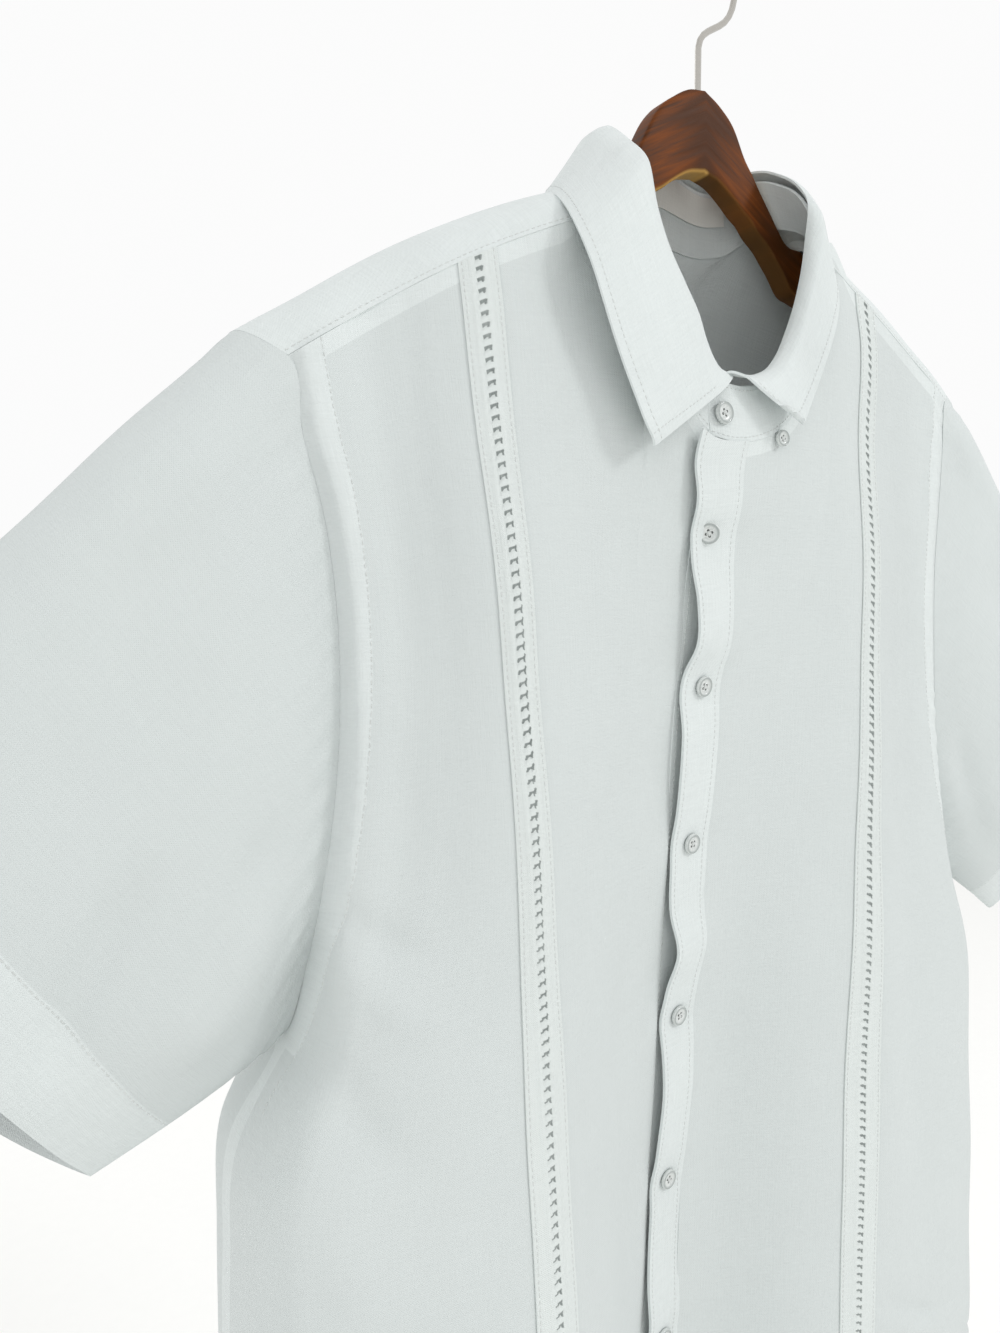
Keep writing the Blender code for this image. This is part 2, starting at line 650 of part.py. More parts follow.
def make_buttons(pearl):
    for k, (z, across) in enumerate(np.array(BUTTON_ROWS) * CM):
        place = across / BAND_REACH * U_BAND
        sheet = np.array([[panel_point(u, z + dz) for dz in (0.005, 0.0, -0.005)]
                          for u in (place - 0.02, place, place + 0.02)])
        normal = grid_normals(sheet)[1, 1]
        lift = front_lift(0.0) + (DOUBLED - CLOTH) + LAYER_GAP
        button("button_front_%d" % (k + 1), BUTTON_DIAMETER, sheet[1, 1] + normal * lift,
               normal, pearl)
    seam, fold, edge = collar_lines()
    facing = np.array([0.0, -1.0, 0.05])
    low = (seam[-1] + fold[-1]) / 2 + np.array([STAND_BUTTON_X, -LAYER_GAP, -0.002])
    button("button_stand", BUTTON_DIAMETER, low, facing, pearl)
    for side, k in (("right", 0), ("left", -1)):
        sign = -1 if side == "right" else 1
        x, z = edge[k][0] - sign * POINT_BUTTON_IN[side], edge[k][2] + POINT_BUTTON_IN[side]
        spot = np.array([x, depth_at(x, z) - POINT_BUTTON_OFF, z])
        button("button_point_" + side, POINT_BUTTON_DIAMETER, spot, np.array([0.0, -1.0, 0.0]), pearl)


# ---------------------------------------------------------------- hanger
def arm_outline(x):
    """Top and bottom of the wood at x."""
    table = np.array(HANGER_ROWS) * CM
    reach = abs(x)
    top_right, top_left, low = spline(table[:, 0], table[:, 1:], np.array([reach]))[0]
    top = top_right if x < 0 else top_left
    if reach > HANGER_ROWS[-2][0] * CM:
        blend = smooth_step(HANGER_ROWS[-2][0] * CM, HANGER_ROWS[-1][0] * CM, reach)
        under_cloth = ridge_z(x) - HANGER_CLEARANCE
        top = top * (1 - blend) + under_cloth * blend
        low = top - (HANGER_ARM_HEIGHT + (HANGER_TIP_HEIGHT - HANGER_ARM_HEIGHT)
                     * (reach - 0.08) / (HANGER_HALF_WIDTH - 0.08)) * blend \
            - (top - low) * (1 - blend)
    return top, low


def make_hanger(wood, steel):
    near = [0.0, 0.6, 1.2, 1.7, 2.2, 2.65, 3.1, 3.7, 4.3, 5.2, 6.2, 7.2, 8.5]
    reaches = [x * CM for x in near] + list(np.linspace(0.10, HANGER_HALF_WIDTH - 0.004, 9))
    reaches += [HANGER_HALF_WIDTH]
    stations = [-x for x in reaches[:0:-1]] + reaches
    shell = bmesh.new()
    rings = []
    for x in stations:
        top, low = arm_outline(x)
        if abs(x) == HANGER_HALF_WIDTH:
            top, low = top - 0.003, low + 0.003
        half, cut = HANGER_THICKNESS / 2, HANGER_CHAMFER
        if abs(x) == HANGER_HALF_WIDTH:
            half -= 0.002
        ring = [(-half, low + cut), (-half, top - cut), (-half + cut, top), (half - cut, top),
                (half, top - cut), (half, low + cut), (half - cut, low), (-half + cut, low)]
        rings.append([shell.verts.new((x, y, z)) for y, z in ring])
    for first, second in zip(rings, rings[1:]):
        for k in range(8):
            n = (k + 1) % 8
            shell.faces.new((first[k], first[n], second[n], second[k]))
    shell.faces.new(rings[0])
    shell.faces.new(rings[-1])
    bmesh.ops.recalc_face_normals(shell, faces=shell.faces)
    mesh = bpy.data.meshes.new("hanger_wood")
    shell.to_mesh(mesh)
    shell.free()
    mesh.shade_smooth()
    mesh.set_sharp_from_angle(angle=math.radians(30))
    add_object("hanger_wood", mesh, wood)
    make_hook(steel)


def hook_path():
    """Straight stem, a lean towards +X, then round over the rail and down on the far side."""
    centre_z = HOOK_WIRE / 2 - HOOK_RADIUS
    join = math.radians(HOOK_JOIN_DEGREES)
    start = np.array([HOOK_RADIUS * math.cos(join), centre_z + HOOK_RADIUS * math.sin(join)])
    foot = np.array([0.0, HOOK_FOOT_Z])
    bend = np.array([0.0, HOOK_BEND_Z])
    guide = bend + np.array([0.001, 0.012])
    path = [foot, (foot + bend) / 2, bend]
    lean = np.array([math.sin(join), -math.cos(join)]) * 0.012
    for t in np.linspace(0, 1, 8)[1:-1]:
        a, b, c, d = bend, guide, start + lean, start
        path.append((1 - t)**3 * a + 3 * (1 - t)**2 * t * b + 3 * (1 - t) * t * t * c + t**3 * d)
    for angle in np.linspace(join, math.radians(HOOK_END_DEGREES), 22):
        path.append(np.array([HOOK_RADIUS * math.cos(angle),
                              centre_z + HOOK_RADIUS * math.sin(angle)]))
    return np.array([[x, 0.0, z] for x, z in path])


def make_hook(steel):
    path = hook_path()
    curve = bpy.data.curves.new("hanger_hook", "CURVE")
    curve.dimensions = "3D"
    curve.bevel_depth = HOOK_WIRE / 2
    curve.bevel_resolution = 2
    curve.use_fill_caps = True
    line = curve.splines.new("POLY")
    line.points.add(len(path) - 1)
    for point, place in zip(line.points, path):
        point.co = (*place, 1.0)
    curve.materials.append(steel)
    hook = bpy.data.objects.new("hanger_hook", curve)
    bpy.context.scene.collection.objects.link(hook)


# ---------------------------------------------------------------- main
def clear_scene():
    for piece in list(bpy.data.objects):
        bpy.data.objects.remove(piece, do_unlink=True)


def main():
    clear_scene()
    cloth = paint("white_cotton_linen", (0.72, 0.76, 0.75), 0.9)
    white = paint("label_satin", (0.85, 0.85, 0.85), 0.5)
    pearl = paint("pearl_button", (0.80, 0.79, 0.76), 0.25)
    wood = paint("varnished_wood", (0.20, 0.085, 0.035), 0.35)
    steel = paint("plated_steel_wire", (0.55, 0.54, 0.52), 0.3, 1.0)
    make_fronts(cloth)
    make_back(cloth)
    wall("yoke", inset(yoke_grid()), CLOTH, cloth)
    make_sleeves(cloth)
    make_collar(cloth, white)
    make_buttons(pearl)
    make_hanger(wood, steel)


if __name__ == "__main__":
    main()
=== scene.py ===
"""Looks of a white short-sleeved guayabera shirt on a wooden hanger.

Laid out as a Blender add-on and run as a script. Each operator makes one group of pieces
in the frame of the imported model: +X is the wearer's left, -Y the front, +Z up, and the
origin is the inner top of the hanger's hook. All lengths are metres.
"""
import math

import bpy
import numpy as np
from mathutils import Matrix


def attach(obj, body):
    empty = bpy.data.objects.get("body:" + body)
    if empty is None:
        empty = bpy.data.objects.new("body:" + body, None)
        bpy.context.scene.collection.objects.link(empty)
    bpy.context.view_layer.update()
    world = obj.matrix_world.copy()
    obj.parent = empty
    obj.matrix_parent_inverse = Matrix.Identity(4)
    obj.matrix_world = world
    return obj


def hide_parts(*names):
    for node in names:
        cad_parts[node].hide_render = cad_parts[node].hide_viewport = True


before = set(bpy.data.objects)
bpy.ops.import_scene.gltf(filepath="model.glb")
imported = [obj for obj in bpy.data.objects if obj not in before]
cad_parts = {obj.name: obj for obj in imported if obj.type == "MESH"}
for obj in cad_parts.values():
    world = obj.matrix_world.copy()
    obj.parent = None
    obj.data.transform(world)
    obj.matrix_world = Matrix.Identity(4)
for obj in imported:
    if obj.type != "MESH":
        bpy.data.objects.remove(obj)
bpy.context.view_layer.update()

bl_info = {
    "name": "Guayabera shirt on a hanger",
    "version": (1, 0, 0),
    "blender": (4, 5, 0),
    "location": "3D View > Sidebar > Shirt",
    "description": "Makes the cloth, buttons, stitching, hanger and stage around the packed shirt",
    "category": "Object",
}

CM = 0.01
MM = 0.001

# ---------------------------------------------------------------- sizes of the cut
CLOTH = 0.0015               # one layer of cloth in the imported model
DOUBLED = 0.0020
LAYER_GAP = 0.0005
FRONT_LINE_X = -0.027        # the line of the buttons
HEM_Z = -0.950
BAND_REACH = 0.140           # cloth from the front line to the middle of a lace band
BAND_WIDTH = 0.026
PLACKET_WIDTH = 0.030
STAND_BUTTON_X = -0.006
POINT_BUTTON_OFF = 0.0026
POINT_BUTTON_IN = {"right": 0.012, "left": -0.004}
RIDGE_TOP_Z = -0.111         # shoulder fold, carried by both arms of the hanger
RIDGE_SLOPE = 0.543
RIDGE_ROUNDING = 0.030
RIDGE_BOW = 0.009
SHOULDER_END = {"right": -0.264, "left": 0.218}
FRONT_YOKE_DROP = 0.023
BACK_YOKE_Z = -0.225
BACK_YOKE_SLOPE = 0.22
NECK_FRONT_Z = -0.288
NECK_CORNER_X = {"right": -0.085, "left": 0.068}
NECK_SQUARENESS = 0.30
NECK_BACK_S = 0.50
ROWS_ABOVE = 10
ROWS_BELOW = 9
YOKE_ROWS = 9
NECK_COLUMNS = 19
STAND_LAP = 0.0030
LEAF_OFF = 0.0062
LEAF_RISE = 0.0038
STAND_FOOT_GAP = 0.0045
SLEEVE_TOP_END = {"right": (-0.443, 0.000, -0.433), "left": (0.397, 0.000, -0.408)}
SLEEVE_LOW_END = {"right": (-0.330, -0.004, -0.603), "left": (0.304, -0.004, -0.600)}
SLEEVE_FRONT_SWELL = 0.034
SLEEVE_BACK_SWELL = 0.026
SLEEVE_BACK_DROP = 0.026
SLEEVE_SWELL = 0.010
SLEEVE_SWELL_DEPTH = 0.020
YOKE_FOOT_X = {"right": -0.075, "left": 0.060}
HANGER_THICKNESS = 0.014
HANGER_HALF_WIDTH = 0.205
HANGER_CLEARANCE = 0.0045
HANGER_ARM_HEIGHT = 0.027
HANGER_TIP_HEIGHT = 0.017
ARMPIT_Z = -0.555
OPEN_Z = -0.475
U_BAND, U_FLANK, U_TURN = 0.46, 0.80, 0.91
TURN_SHARE = 0.75
PLACKET_SHARE = PLACKET_WIDTH / 2 / BAND_REACH * U_BAND
BAND_SHARE = BAND_WIDTH / 2 / BAND_REACH * U_BAND

# Front buttons from the top: level, and place across from the front line, in centimetres.
BUTTON_ROWS = [
    (-33.4, -0.5),
    (-41.4, 0.0),
    (-50.1, 0.0),
    (-60.1, 0.0),
    (-70.0, 0.0),
    (-79.9, 0.0),
]
# Outline of the hanger's head in centimetres: reach, top right, top left, bottom.
HANGER_ROWS = [
    (0.00, -8.80, -8.80, -13.20),
    (1.20, -9.05, -9.40, -13.50),
    (2.20, -9.65, -10.25, -14.10),
    (3.10, -10.35, -11.75, -14.75),
    (3.70, -11.10, -12.45, -15.10),
    (4.20, -12.00, -13.10, -15.60),
    (5.20, -13.90, -14.30, -16.30),
    (6.20, -15.40, -15.50, -17.30),
    (8.00, -16.80, -16.80, -18.70),
]
# Way round the collar from the right front; in centimetres the fold's reach from the neck
# seam (across, deep, up) and the leaf's reach from the fold.
COLLAR_ROWS = [
    (0.000, 0.30, 0.25, 3.00, -6.90, -1.30, -3.90),
    (0.028, 0.70, 0.25, 2.85, -5.95, -1.25, -3.80),
    (0.060, 1.20, 0.25, 2.70, -5.90, -1.25, -3.60),
    (0.092, 1.65, 0.22, 2.60, -5.60, -1.10, -3.60),
    (0.160, 1.45, 0.30, 2.20, -5.20, -1.00, -3.80),
    (0.233, 1.10, 0.30, 2.00, -5.00, -1.50, -4.20),
    (0.280, 1.70, 0.40, 2.15, -5.10, -1.40, -4.50),
    (0.325, 1.50, 0.00, 3.00, -3.05, 0.40, -3.20),
    (0.402, 0.70, -0.60, 3.30, -2.30, 2.00, -3.90),
    (0.430, 0.50, -0.70, 3.45, -1.80, 2.40, -4.20),
    (0.500, 0.00, -0.70, 3.90, 0.00, 2.80, -4.70),
    (0.580, -0.90, -0.70, 3.20, 2.40, 2.00, -4.20),
    (0.660, -1.70, -0.60, 2.10, 3.00, 0.20, -2.80),
    (0.700, -1.90, -0.45, 2.10, 2.10, -0.50, -4.40),
    (0.786, -1.82, 0.00, 2.38, 0.50, -0.90, -3.90),
    (0.860, -1.50, 0.20, 2.50, -0.10, -1.20, -4.40),
    (0.940, -0.80, 0.25, 2.70, 1.50, -1.00, -2.50),
    (1.000, -0.30, 0.25, 3.00, 3.80, -0.90, -2.10),
]
# A row for each level, in centimetres: z, depth at the front line, then for the right and
# the left half the depth on the lace band, flank x, flank depth, edge x, edge depth.
FRONT_ROWS = [
    (-16.0, -5.0, -2.6, -21.0, -1.6, -24.6, -1.4, -2.4, 17.6, -1.8, 20.6, -1.4),
    (-22.0, -5.4, -3.9, -22.0, -2.4, -25.0, -2.2, -3.1, 17.5, -2.3, 20.4, -2.0),
    (-28.5, -5.6, -5.4, -21.8, -3.5, -24.7, -2.9, -3.3, 17.3, -2.6, 19.9, -2.3),
    (-34.0, -4.4, -6.4, -21.3, -4.6, -23.6, -3.5, -3.6, 17.0, -2.7, 19.4, -2.4),
    (-42.0, -3.3, -7.1, -21.3, -5.6, -23.4, -4.1, -3.8, 17.3, -2.8, 19.7, -2.4),
    (-50.0, -2.5, -7.5, -22.4, -6.3, -24.4, -3.9, -4.0, 18.6, -2.9, 21.2, -1.8),
    (-55.5, -2.0, -7.7, -23.8, -6.5, -25.1, -1.8, -4.1, 20.4, -3.0, 23.2, -0.4),
    (-60.0, -1.6, -7.8, -25.4, -6.6, -27.2, -1.0, -4.1, 22.4, -3.0, 24.8, 0.0),
    (-67.0, -1.1, -8.0, -25.7, -6.9, -27.7, -1.0, -4.2, 23.2, -3.1, 25.5, 0.0),
    (-80.0, -0.6, -8.2, -25.6, -6.9, -27.7, -0.8, -4.4, 23.8, -3.2, 26.2, 0.0),
    (-95.0, -0.4, -8.3, -25.4, -6.6, -27.6, -0.6, -4.6, 24.4, -3.3, 26.9, 0.0),
]
# z, depth at the middle of the back, then flank and edge depths, right and left.
BACK_ROWS = [
    (-12.0, 4.0, 1.0, 0.8, 1.0, 0.8),
    (-22.0, 5.1, 2.6, 2.1, 2.6, 2.1),
    (-28.5, 5.3, 3.2, 2.8, 3.2, 2.8),
    (-34.0, 5.4, 3.6, 3.1, 3.6, 3.1),
    (-42.0, 5.4, 3.8, 3.2, 3.8, 3.2),
    (-50.0, 5.4, 3.8, 2.3, 3.8, 2.3),
    (-55.5, 5.4, 3.8, -1.8, 3.8, -0.4),
    (-60.0, 5.3, 3.6, -1.0, 3.8, 0.0),
    (-67.0, 5.2, 3.2, -1.0, 3.9, 0.0),
    (-80.0, 5.0, 2.8, -0.8, 4.0, 0.0),
    (-95.0, 4.8, 2.6, -0.6, 4.0, 0.0),
]

# ---------------------------------------------------------------- sizes of the finish
SEEN_CLOTH = 0.0007          # walls of the cloth as it is seen
SEEN_DOUBLED = 0.0016
SEEN_LEAF = 0.0012
SEEN_YOKE = 0.0011
SEEN_LACE = 0.0007
SEEN_LABEL = 0.0005
PLACKET_LIFT = 0.0004        # how far what lies on a panel stands out of it
YOKE_LIFT = 0.0004
LACE_LIFT = 0.0009
SLEEVE_LIFT = 0.0003
ARMHOLE_ALLOWANCE = 0.017    # cloth turned in at a seam, which shows as paler
SIDE_ALLOWANCE = 0.006
YOKE_ALLOWANCE = 0.009
FINE = 0.0038                # side of a cell of fine cloth
SLEEVE_FINE = 0.0036
YOKE_FINE = 0.0030
TRIM_FINE = 0.0026
STAND_FINE = 0.0025
LABEL_FINE = 0.0020
LACE_FINE = 0.00105          # fine enough for the bars of the lace
STITCH = 0.0023              # length of a stitch, and from one to the next
STITCH_STEP = 0.0032
THREAD_REACH = 0.00026       # half the width of a stitch
BUTTON_WALL = 0.0026
BUTTON_SIDES = 40
BUTTON_EYE = 0.19            # across and up from the middle, as a share of the radius
EYE_THREAD_HEIGHT = 0.0019
EYE_THREAD_SPREAD = 0.035
EYE_THREAD_REACH = 0.00032
TOP_BUTTON_LEAN = -0.75      # the top button faces towards the wearer's right
WOOD_SIDES = 40
WOOD_ROUNDING = 0.20         # the smaller, the squarer the section of the wood
WOOD_END = 0.006             # length over which a tip of the hanger rounds off
FLOOR_Z = -1.32
FLOOR_REACH = 7.0
SKY_STRENGTH = 0.97
LAMP_TARGET = (0.0, 0.0, -0.45)
# Height of the low swells in each sheet, and the seed they are drawn from.
SWAYS = {
    "front_left": (0.0011, 3), "front_right": (0.0011, 5), "placket_right": (0.0006, 8),
    "back": (0.0016, 11), "yoke": (0.0007, 17), "sleeve_left": (0.0013, 23),
    "sleeve_right": (0.0013, 29), "collar_leaf": (0.0007, 31),
}
# The edge of the left front waves between its buttons: z, sideways, outward, in centimetres.
EDGE_WAVES = [
    (-28.0, -0.9, 0.3), (-30.2, -1.1, 0.3), (-31.4, -0.8, 0.4), (-32.6, -0.6, 0.5),
    (-34.9, -0.35, 0.35), (-37.0, 0.15, 0.55), (-39.3, 0.30, 0.60), (-40.5, 0.05, 0.30),
    (-41.6, -0.05, 0.20), (-44.0, 0.10, 0.35), (-46.5, 0.10, 0.40), (-49.7, 0.12, 0.25),
    (-53.7, 0.12, 0.35), (-56.1, 0.55, 0.70), (-58.2, 0.25, 0.35), (-60.0, 0.15, 0.30),
    (-64.5, 0.35, 0.50), (-68.0, 0.20, 0.35), (-71.0, 0.05, 0.25), (-75.7, 0.00, 0.25),
    (-80.0, 0.20, 0.45), (-84.5, 0.05, 0.20), (-89.0, 0.25, 0.40), (-95.0, 0.10, 0.20),
]
# Soft ridges (+) and troughs (-) laid in the cloth, in centimetres:
# x, z of one end, x, z of the other, bow, width, height. Front pieces, then back pieces.
FRONT_FOLDS = [
    (13.8, -81.9, 20.2, -85.6, 0.4, 0.55, -0.22), (14.4, -83.0, 20.0, -86.6, 0.4, 0.8, 0.14),
    (26.4, -86.8, 24.6, -89.6, -1.2, 0.6, -0.22), (15.6, -36.0, 17.4, -80.0, 0.8, 1.8, -0.22),
    (12.2, -40.0, 13.6, -76.0, -0.5, 2.2, 0.19), (3.0, -34.0, 6.0, -70.0, 1.0, 3.0, 0.19),
    (20.4, -25.6, 17.0, -31.5, 0.5, 0.8, -0.19), (20.6, -29.0, 17.4, -36.0, 0.7, 1.2, 0.14),
    (-25.6, -47.4, -21.0, -51.5, 0.5, 0.7, -0.27), (-25.2, -49.4, -20.6, -54.5, 0.6, 0.8, 0.22),
    (-25.4, -52.0, -21.8, -60.5, 0.8, 0.9, -0.24), (-26.0, -54.0, -23.6, -66.0, 0.6, 1.2, 0.24),
    (-24.0, -36.0, -21.6, -45.0, 0.4, 1.3, -0.14), (-21.0, -62.0, -22.0, -86.0, 0.8, 2.2, -0.22),
    (-9.0, -36.0, -11.0, -82.0, 1.2, 3.2, -0.24), (-5.0, -42.0, -5.6, -88.0, -0.6, 2.2, 0.16),
    (-12.0, -19.0, -9.6, -27.0, 0.6, 1.6, -0.16), (-19.0, -23.0, -21.5, -33.0, 0.6, 2.0, 0.14),
]
BACK_FOLDS = [
    (-24.4, -49.0, -17.0, -56.0, 0.8, 1.0, -0.46), (-24.8, -52.0, -18.0, -60.0, 1.0, 1.1, 0.42),
    (-26.0, -56.5, -21.0, -68.0, 1.2, 1.3, -0.46), (21.6, -49.0, 14.0, -55.5, -0.7, 1.0, -0.42),
    (22.6, -52.5, 16.0, -61.5, -1.0, 1.2, 0.38), (24.6, -57.0, 19.0, -70.0, -0.8, 1.3, -0.42),
    (-12.0, -30.0, -16.0, -86.0, 2.0, 2.6, -0.49), (-5.0, -34.0, -7.0, -90.0, 1.4, 2.4, 0.42),
    (4.0, -28.0, 2.6, -88.0, -1.2, 2.6, -0.46), (11.0, -32.0, 13.4, -84.0, 1.6, 2.8, 0.46),
    (17.6, -38.0, 19.0, -80.0, -0.8, 2.0, -0.34), (-20.6, -34.0, -19.0, -48.0, 0.6, 1.6, 0.27),
    (-9.0, -86.0, 6.0, -90.5, 1.0, 1.0, -0.19), (8.0, -46.0, -6.0, -50.0, -1.0, 2.2, 0.19),
]
FRONT_SLEEVE_FOLDS = [
    (-31.4, -47.0, -34.8, -55.0, 0.5, 0.9, -0.42), (-26.8, -48.6, -30.4, -55.2, -0.4, 1.5, 0.48),
    (-25.6, -45.5, -29.6, -52.0, 0.3, 0.8, -0.22), (-29.6, -37.0, -37.0, -44.0, 0.6, 2.0, 0.22),
    (-28.4, -33.0, -35.0, -47.0, 0.8, 2.2, -0.20), (-36.0, -46.0, -39.0, -51.0, 0.3, 1.1, 0.20),
    (21.6, -46.0, 26.5, -55.0, 0.4, 1.0, -0.31), (22.0, -49.0, 28.0, -57.5, 0.3, 1.2, 0.28),
    (24.0, -35.0, 32.0, -45.0, -0.8, 2.0, -0.22), (27.0, -33.0, 35.5, -44.0, -0.6, 1.8, 0.17),
]
BACK_SLEEVE_FOLDS = [
    (-26.0, -46.0, -31.0, -57.0, 0.6, 1.2, -0.42), (-28.0, -42.0, -34.4, -55.0, 0.7, 1.6, 0.39),
    (-30.0, -36.0, -38.0, -48.0, -0.8, 2.0, -0.27), (22.4, -45.0, 28.0, -58.0, 0.6, 1.2, -0.39),
    (24.5, -40.0, 31.0, -54.0, -0.6, 1.7, 0.36), (28.0, -34.0, 35.0, -47.0, 0.7, 1.9, -0.24),
]


# ---------------------------------------------------------------- curves
def spline(knots, values, at):
    """Smooth curve through values at rising knots; values may be points or rows of points."""
    knots = np.asarray(knots, float)
    values = np.asarray(values, float)
    at = np.clip(np.asarray(at, float), knots[0], knots[-1])
    cell = np.clip(np.searchsorted(knots, at, side="right") - 1, 0, len(knots) - 2)
    slopes = np.gradient(values, knots, axis=0)
    width = knots[cell + 1] - knots[cell]
    t = (at - knots[cell]) / width
    shape = t.shape + (1,) * (values.ndim - 1)
    t, width = t.reshape(shape), width.reshape(shape)
    return ((2 * t**3 - 3 * t**2 + 1) * values[cell]
            + (t**3 - 2 * t**2 + t) * width * slopes[cell]
            + (3 * t**2 - 2 * t**3) * values[cell + 1]
            + (t**3 - t**2) * width * slopes[cell + 1])


def smooth_step(low, high, value):
    t = np.clip((value - low) / (high - low), 0.0, 1.0)
    return t * t * (3.0 - 2.0 * t)


def level(rows, z):
    table = np.array(rows)[::-1] * CM
    return spline(table[:, 0], table[:, 1:], z)


def side_points(band, flank, edge, z, sign):
    """Control points of half a section, from its turn back to the front line."""
    turn = flank + (edge - flank) * TURN_SHARE
    turn[1] = edge[1] + (flank[1] - edge[1]) * TURN_SHARE
    closed = smooth_step(OPEN_Z, ARMPIT_Z, z)
    beyond = (1 - closed) * (2 * edge - turn) + closed * np.array([turn[0], 2 * edge[1] - turn[1]])
    knots = [U_FLANK, U_TURN, 1.0, 1.0 + (1.0 - U_TURN)]
    points = [flank, turn, edge, beyond]
    if band is not None:
        knots.insert(0, U_BAND)
        points.insert(0, band)
    return [sign * k for k in knots], points


def band_place(centre, depth, sign):
    reach = math.sqrt(BAND_REACH**2 - (depth - centre[1])**2)
    return np.array([centre[0] + sign * reach, depth])


def section(z, back=False):
    """Knots and points (x, y) of the front or back section at the level z."""
    front = level(FRONT_ROWS, z)
    centre = np.array([FRONT_LINE_X, front[0]])
    if back:
        depths = level(BACK_ROWS, z)
        centre = np.array([(front[4] + front[9]) / 2, depths[0]])
    halves = []
    for sign, k in ((-1, 0), (1, 1)):
        band_y, flank_x, flank_y, edge_x, edge_y = front[1 + 5 * k:6 + 5 * k]
        band = None if back else band_place(centre, band_y, sign)
        if back:
            flank_y = depths[1 + 2 * k]
            if z > ARMPIT_Z:
                edge_y = depths[2 + 2 * k]
        halves.append(side_points(band, np.array([flank_x, flank_y]),
                                  np.array([edge_x, edge_y]), z, sign))
    knots = halves[0][0][::-1] + [0.0] + halves[1][0]
    points = halves[0][1][::-1] + [centre] + halves[1][1]
    return knots, points


def panel_point(u, z, back=False):
    knots, points = section(z, back)
    x, y = spline(knots, points, np.array([u]))[0]
    return np.array([x, y, z])


def section_line(x, z, back, wanted):
    knots, points = section(z, back)
    shares = np.linspace(-1, 1, 161)
    line = spline(knots, points, shares)
    return float(np.interp(x, line[:, 0], line[:, 1] if wanted == "depth" else shares))


# ---------------------------------------------------------------- seams of the upper body
def ridge_z(x):
    bow = RIDGE_BOW * math.sin(math.pi * min(max((abs(x) - 0.07) / 0.19, 0.0), 1.0))
    return RIDGE_TOP_Z - RIDGE_SLOPE * math.hypot(x, RIDGE_ROUNDING) + bow


def front_yoke_z(x):
    return ridge_z(x) - FRONT_YOKE_DROP


def back_yoke_z(x):
    return BACK_YOKE_Z - BACK_YOKE_SLOPE * max(abs(x) - 0.04, 0.0)


def front_top(u):
    """Highest level of the front panel at the share u: neck seam, then yoke seam."""
    x = panel_point(u, -0.25)[0]
    for _ in range(3):
        side = "left" if x > FRONT_LINE_X else "right"
        corner = NECK_CORNER_X[side]
        reach = (x - FRONT_LINE_X) / (corner - FRONT_LINE_X)
        if reach < 1.0:
            high = front_yoke_z(corner)
            z = high + (NECK_FRONT_Z - high) * math.sqrt(max(1.0 - reach * reach, 0.0))
        else:
            z = front_yoke_z(x)
        x = panel_point(u, z)[0]
    return z


def back_top(u):
    z = BACK_YOKE_Z
    for _ in range(4):
        z = back_yoke_z(panel_point(u, z, back=True)[0])
    return z


def saddle(x, s):
    """Point of the yoke: s = -1 on the front seam, 0 on the fold, 1 on the back seam."""
    turn = math.radians(62 if s < 0 else 84)
    angle = abs(s) * turn
    seam_z = front_yoke_z(x) if s < 0 else back_yoke_z(x)
    seam_y = section_line(x, seam_z, s > 0, "depth")
    rise = (1 - math.cos(angle)) / (1 - math.cos(turn))
    high = ridge_z(x)
    return np.array([x, seam_y * math.sin(angle) / math.sin(turn), high + (seam_z - high) * rise])


def neck_on_yoke(t):
    side = "left" if t > 0 else "right"
    middle = (NECK_CORNER_X["left"] + NECK_CORNER_X["right"]) / 2
    half = NECK_CORNER_X[side] - middle
    angle = (1 - abs(t)) * math.pi / 2
    return (middle + half * math.cos(angle)**NECK_SQUARENESS,
            -1 + (1 + NECK_BACK_S) * math.sin(angle))


def yoke_end(side, s):
    edge = -1.0 if side == "right" else 1.0
    back = s > 0
    top = back_top(edge) if back else front_top(edge)
    x = panel_point(edge, top, back)[0]
    return x + (SHOULDER_END[side] - x) * (1 - abs(s)**2)


def levels(top):
    upper = np.linspace(top, ARMPIT_Z, ROWS_ABOVE)
    return np.concatenate([upper, np.linspace(ARMPIT_Z, HEM_Z, ROWS_BELOW)[1:]])


def front_lift(u):
    over = PLACKET_SHARE
    return (CLOTH + LAYER_GAP) * (1 - smooth_step(over * 1.2, over * 4, u))


def front_grid(shares, left):
    grid = np.array([[panel_point(u, z) for z in levels(front_top(u))] for u in shares])
    if left:
        normals = grid_normals(grid)
        for i, u in enumerate(shares):
            grid[i] += normals[i] * front_lift(u)
    return grid


def neck_shares(side, first):
    corner_x = NECK_CORNER_X[side]
    corner = section_line(corner_x, front_yoke_z(corner_x), False, "share")
    places = [corner * math.sin(a) for a in np.linspace(0.0, math.pi / 2, 9)]
    return [math.copysign(first, corner)] + [u for u in places if abs(u) > first * 1.25]


def front_shares(side):
    """Shares of a front from the placket to the armhole, named by wearer's side."""
    sign = -1 if side == "right" else 1
    inner = neck_shares(side, PLACKET_SHARE)
    outer = [0.30, U_BAND - BAND_SHARE, U_BAND + BAND_SHARE, 0.58, 0.69, 0.80,
             0.86, 0.91, 0.95, 0.98, 1.0]
    shares = inner + [sign * u for u in outer if u > abs(inner[-1]) + 0.02]
    return shares[::-1] if sign < 0 else shares


def back_grid():
    half = [0.0, 0.2, 0.4, 0.6, 0.80, 0.86, 0.91, 0.95, 0.98, 1.0]
    shares = [-u for u in half[:0:-1]] + half
    return np.array([[panel_point(u, z, back=True) for z in levels(back_top(u))]
                     for u in shares[::-1]])


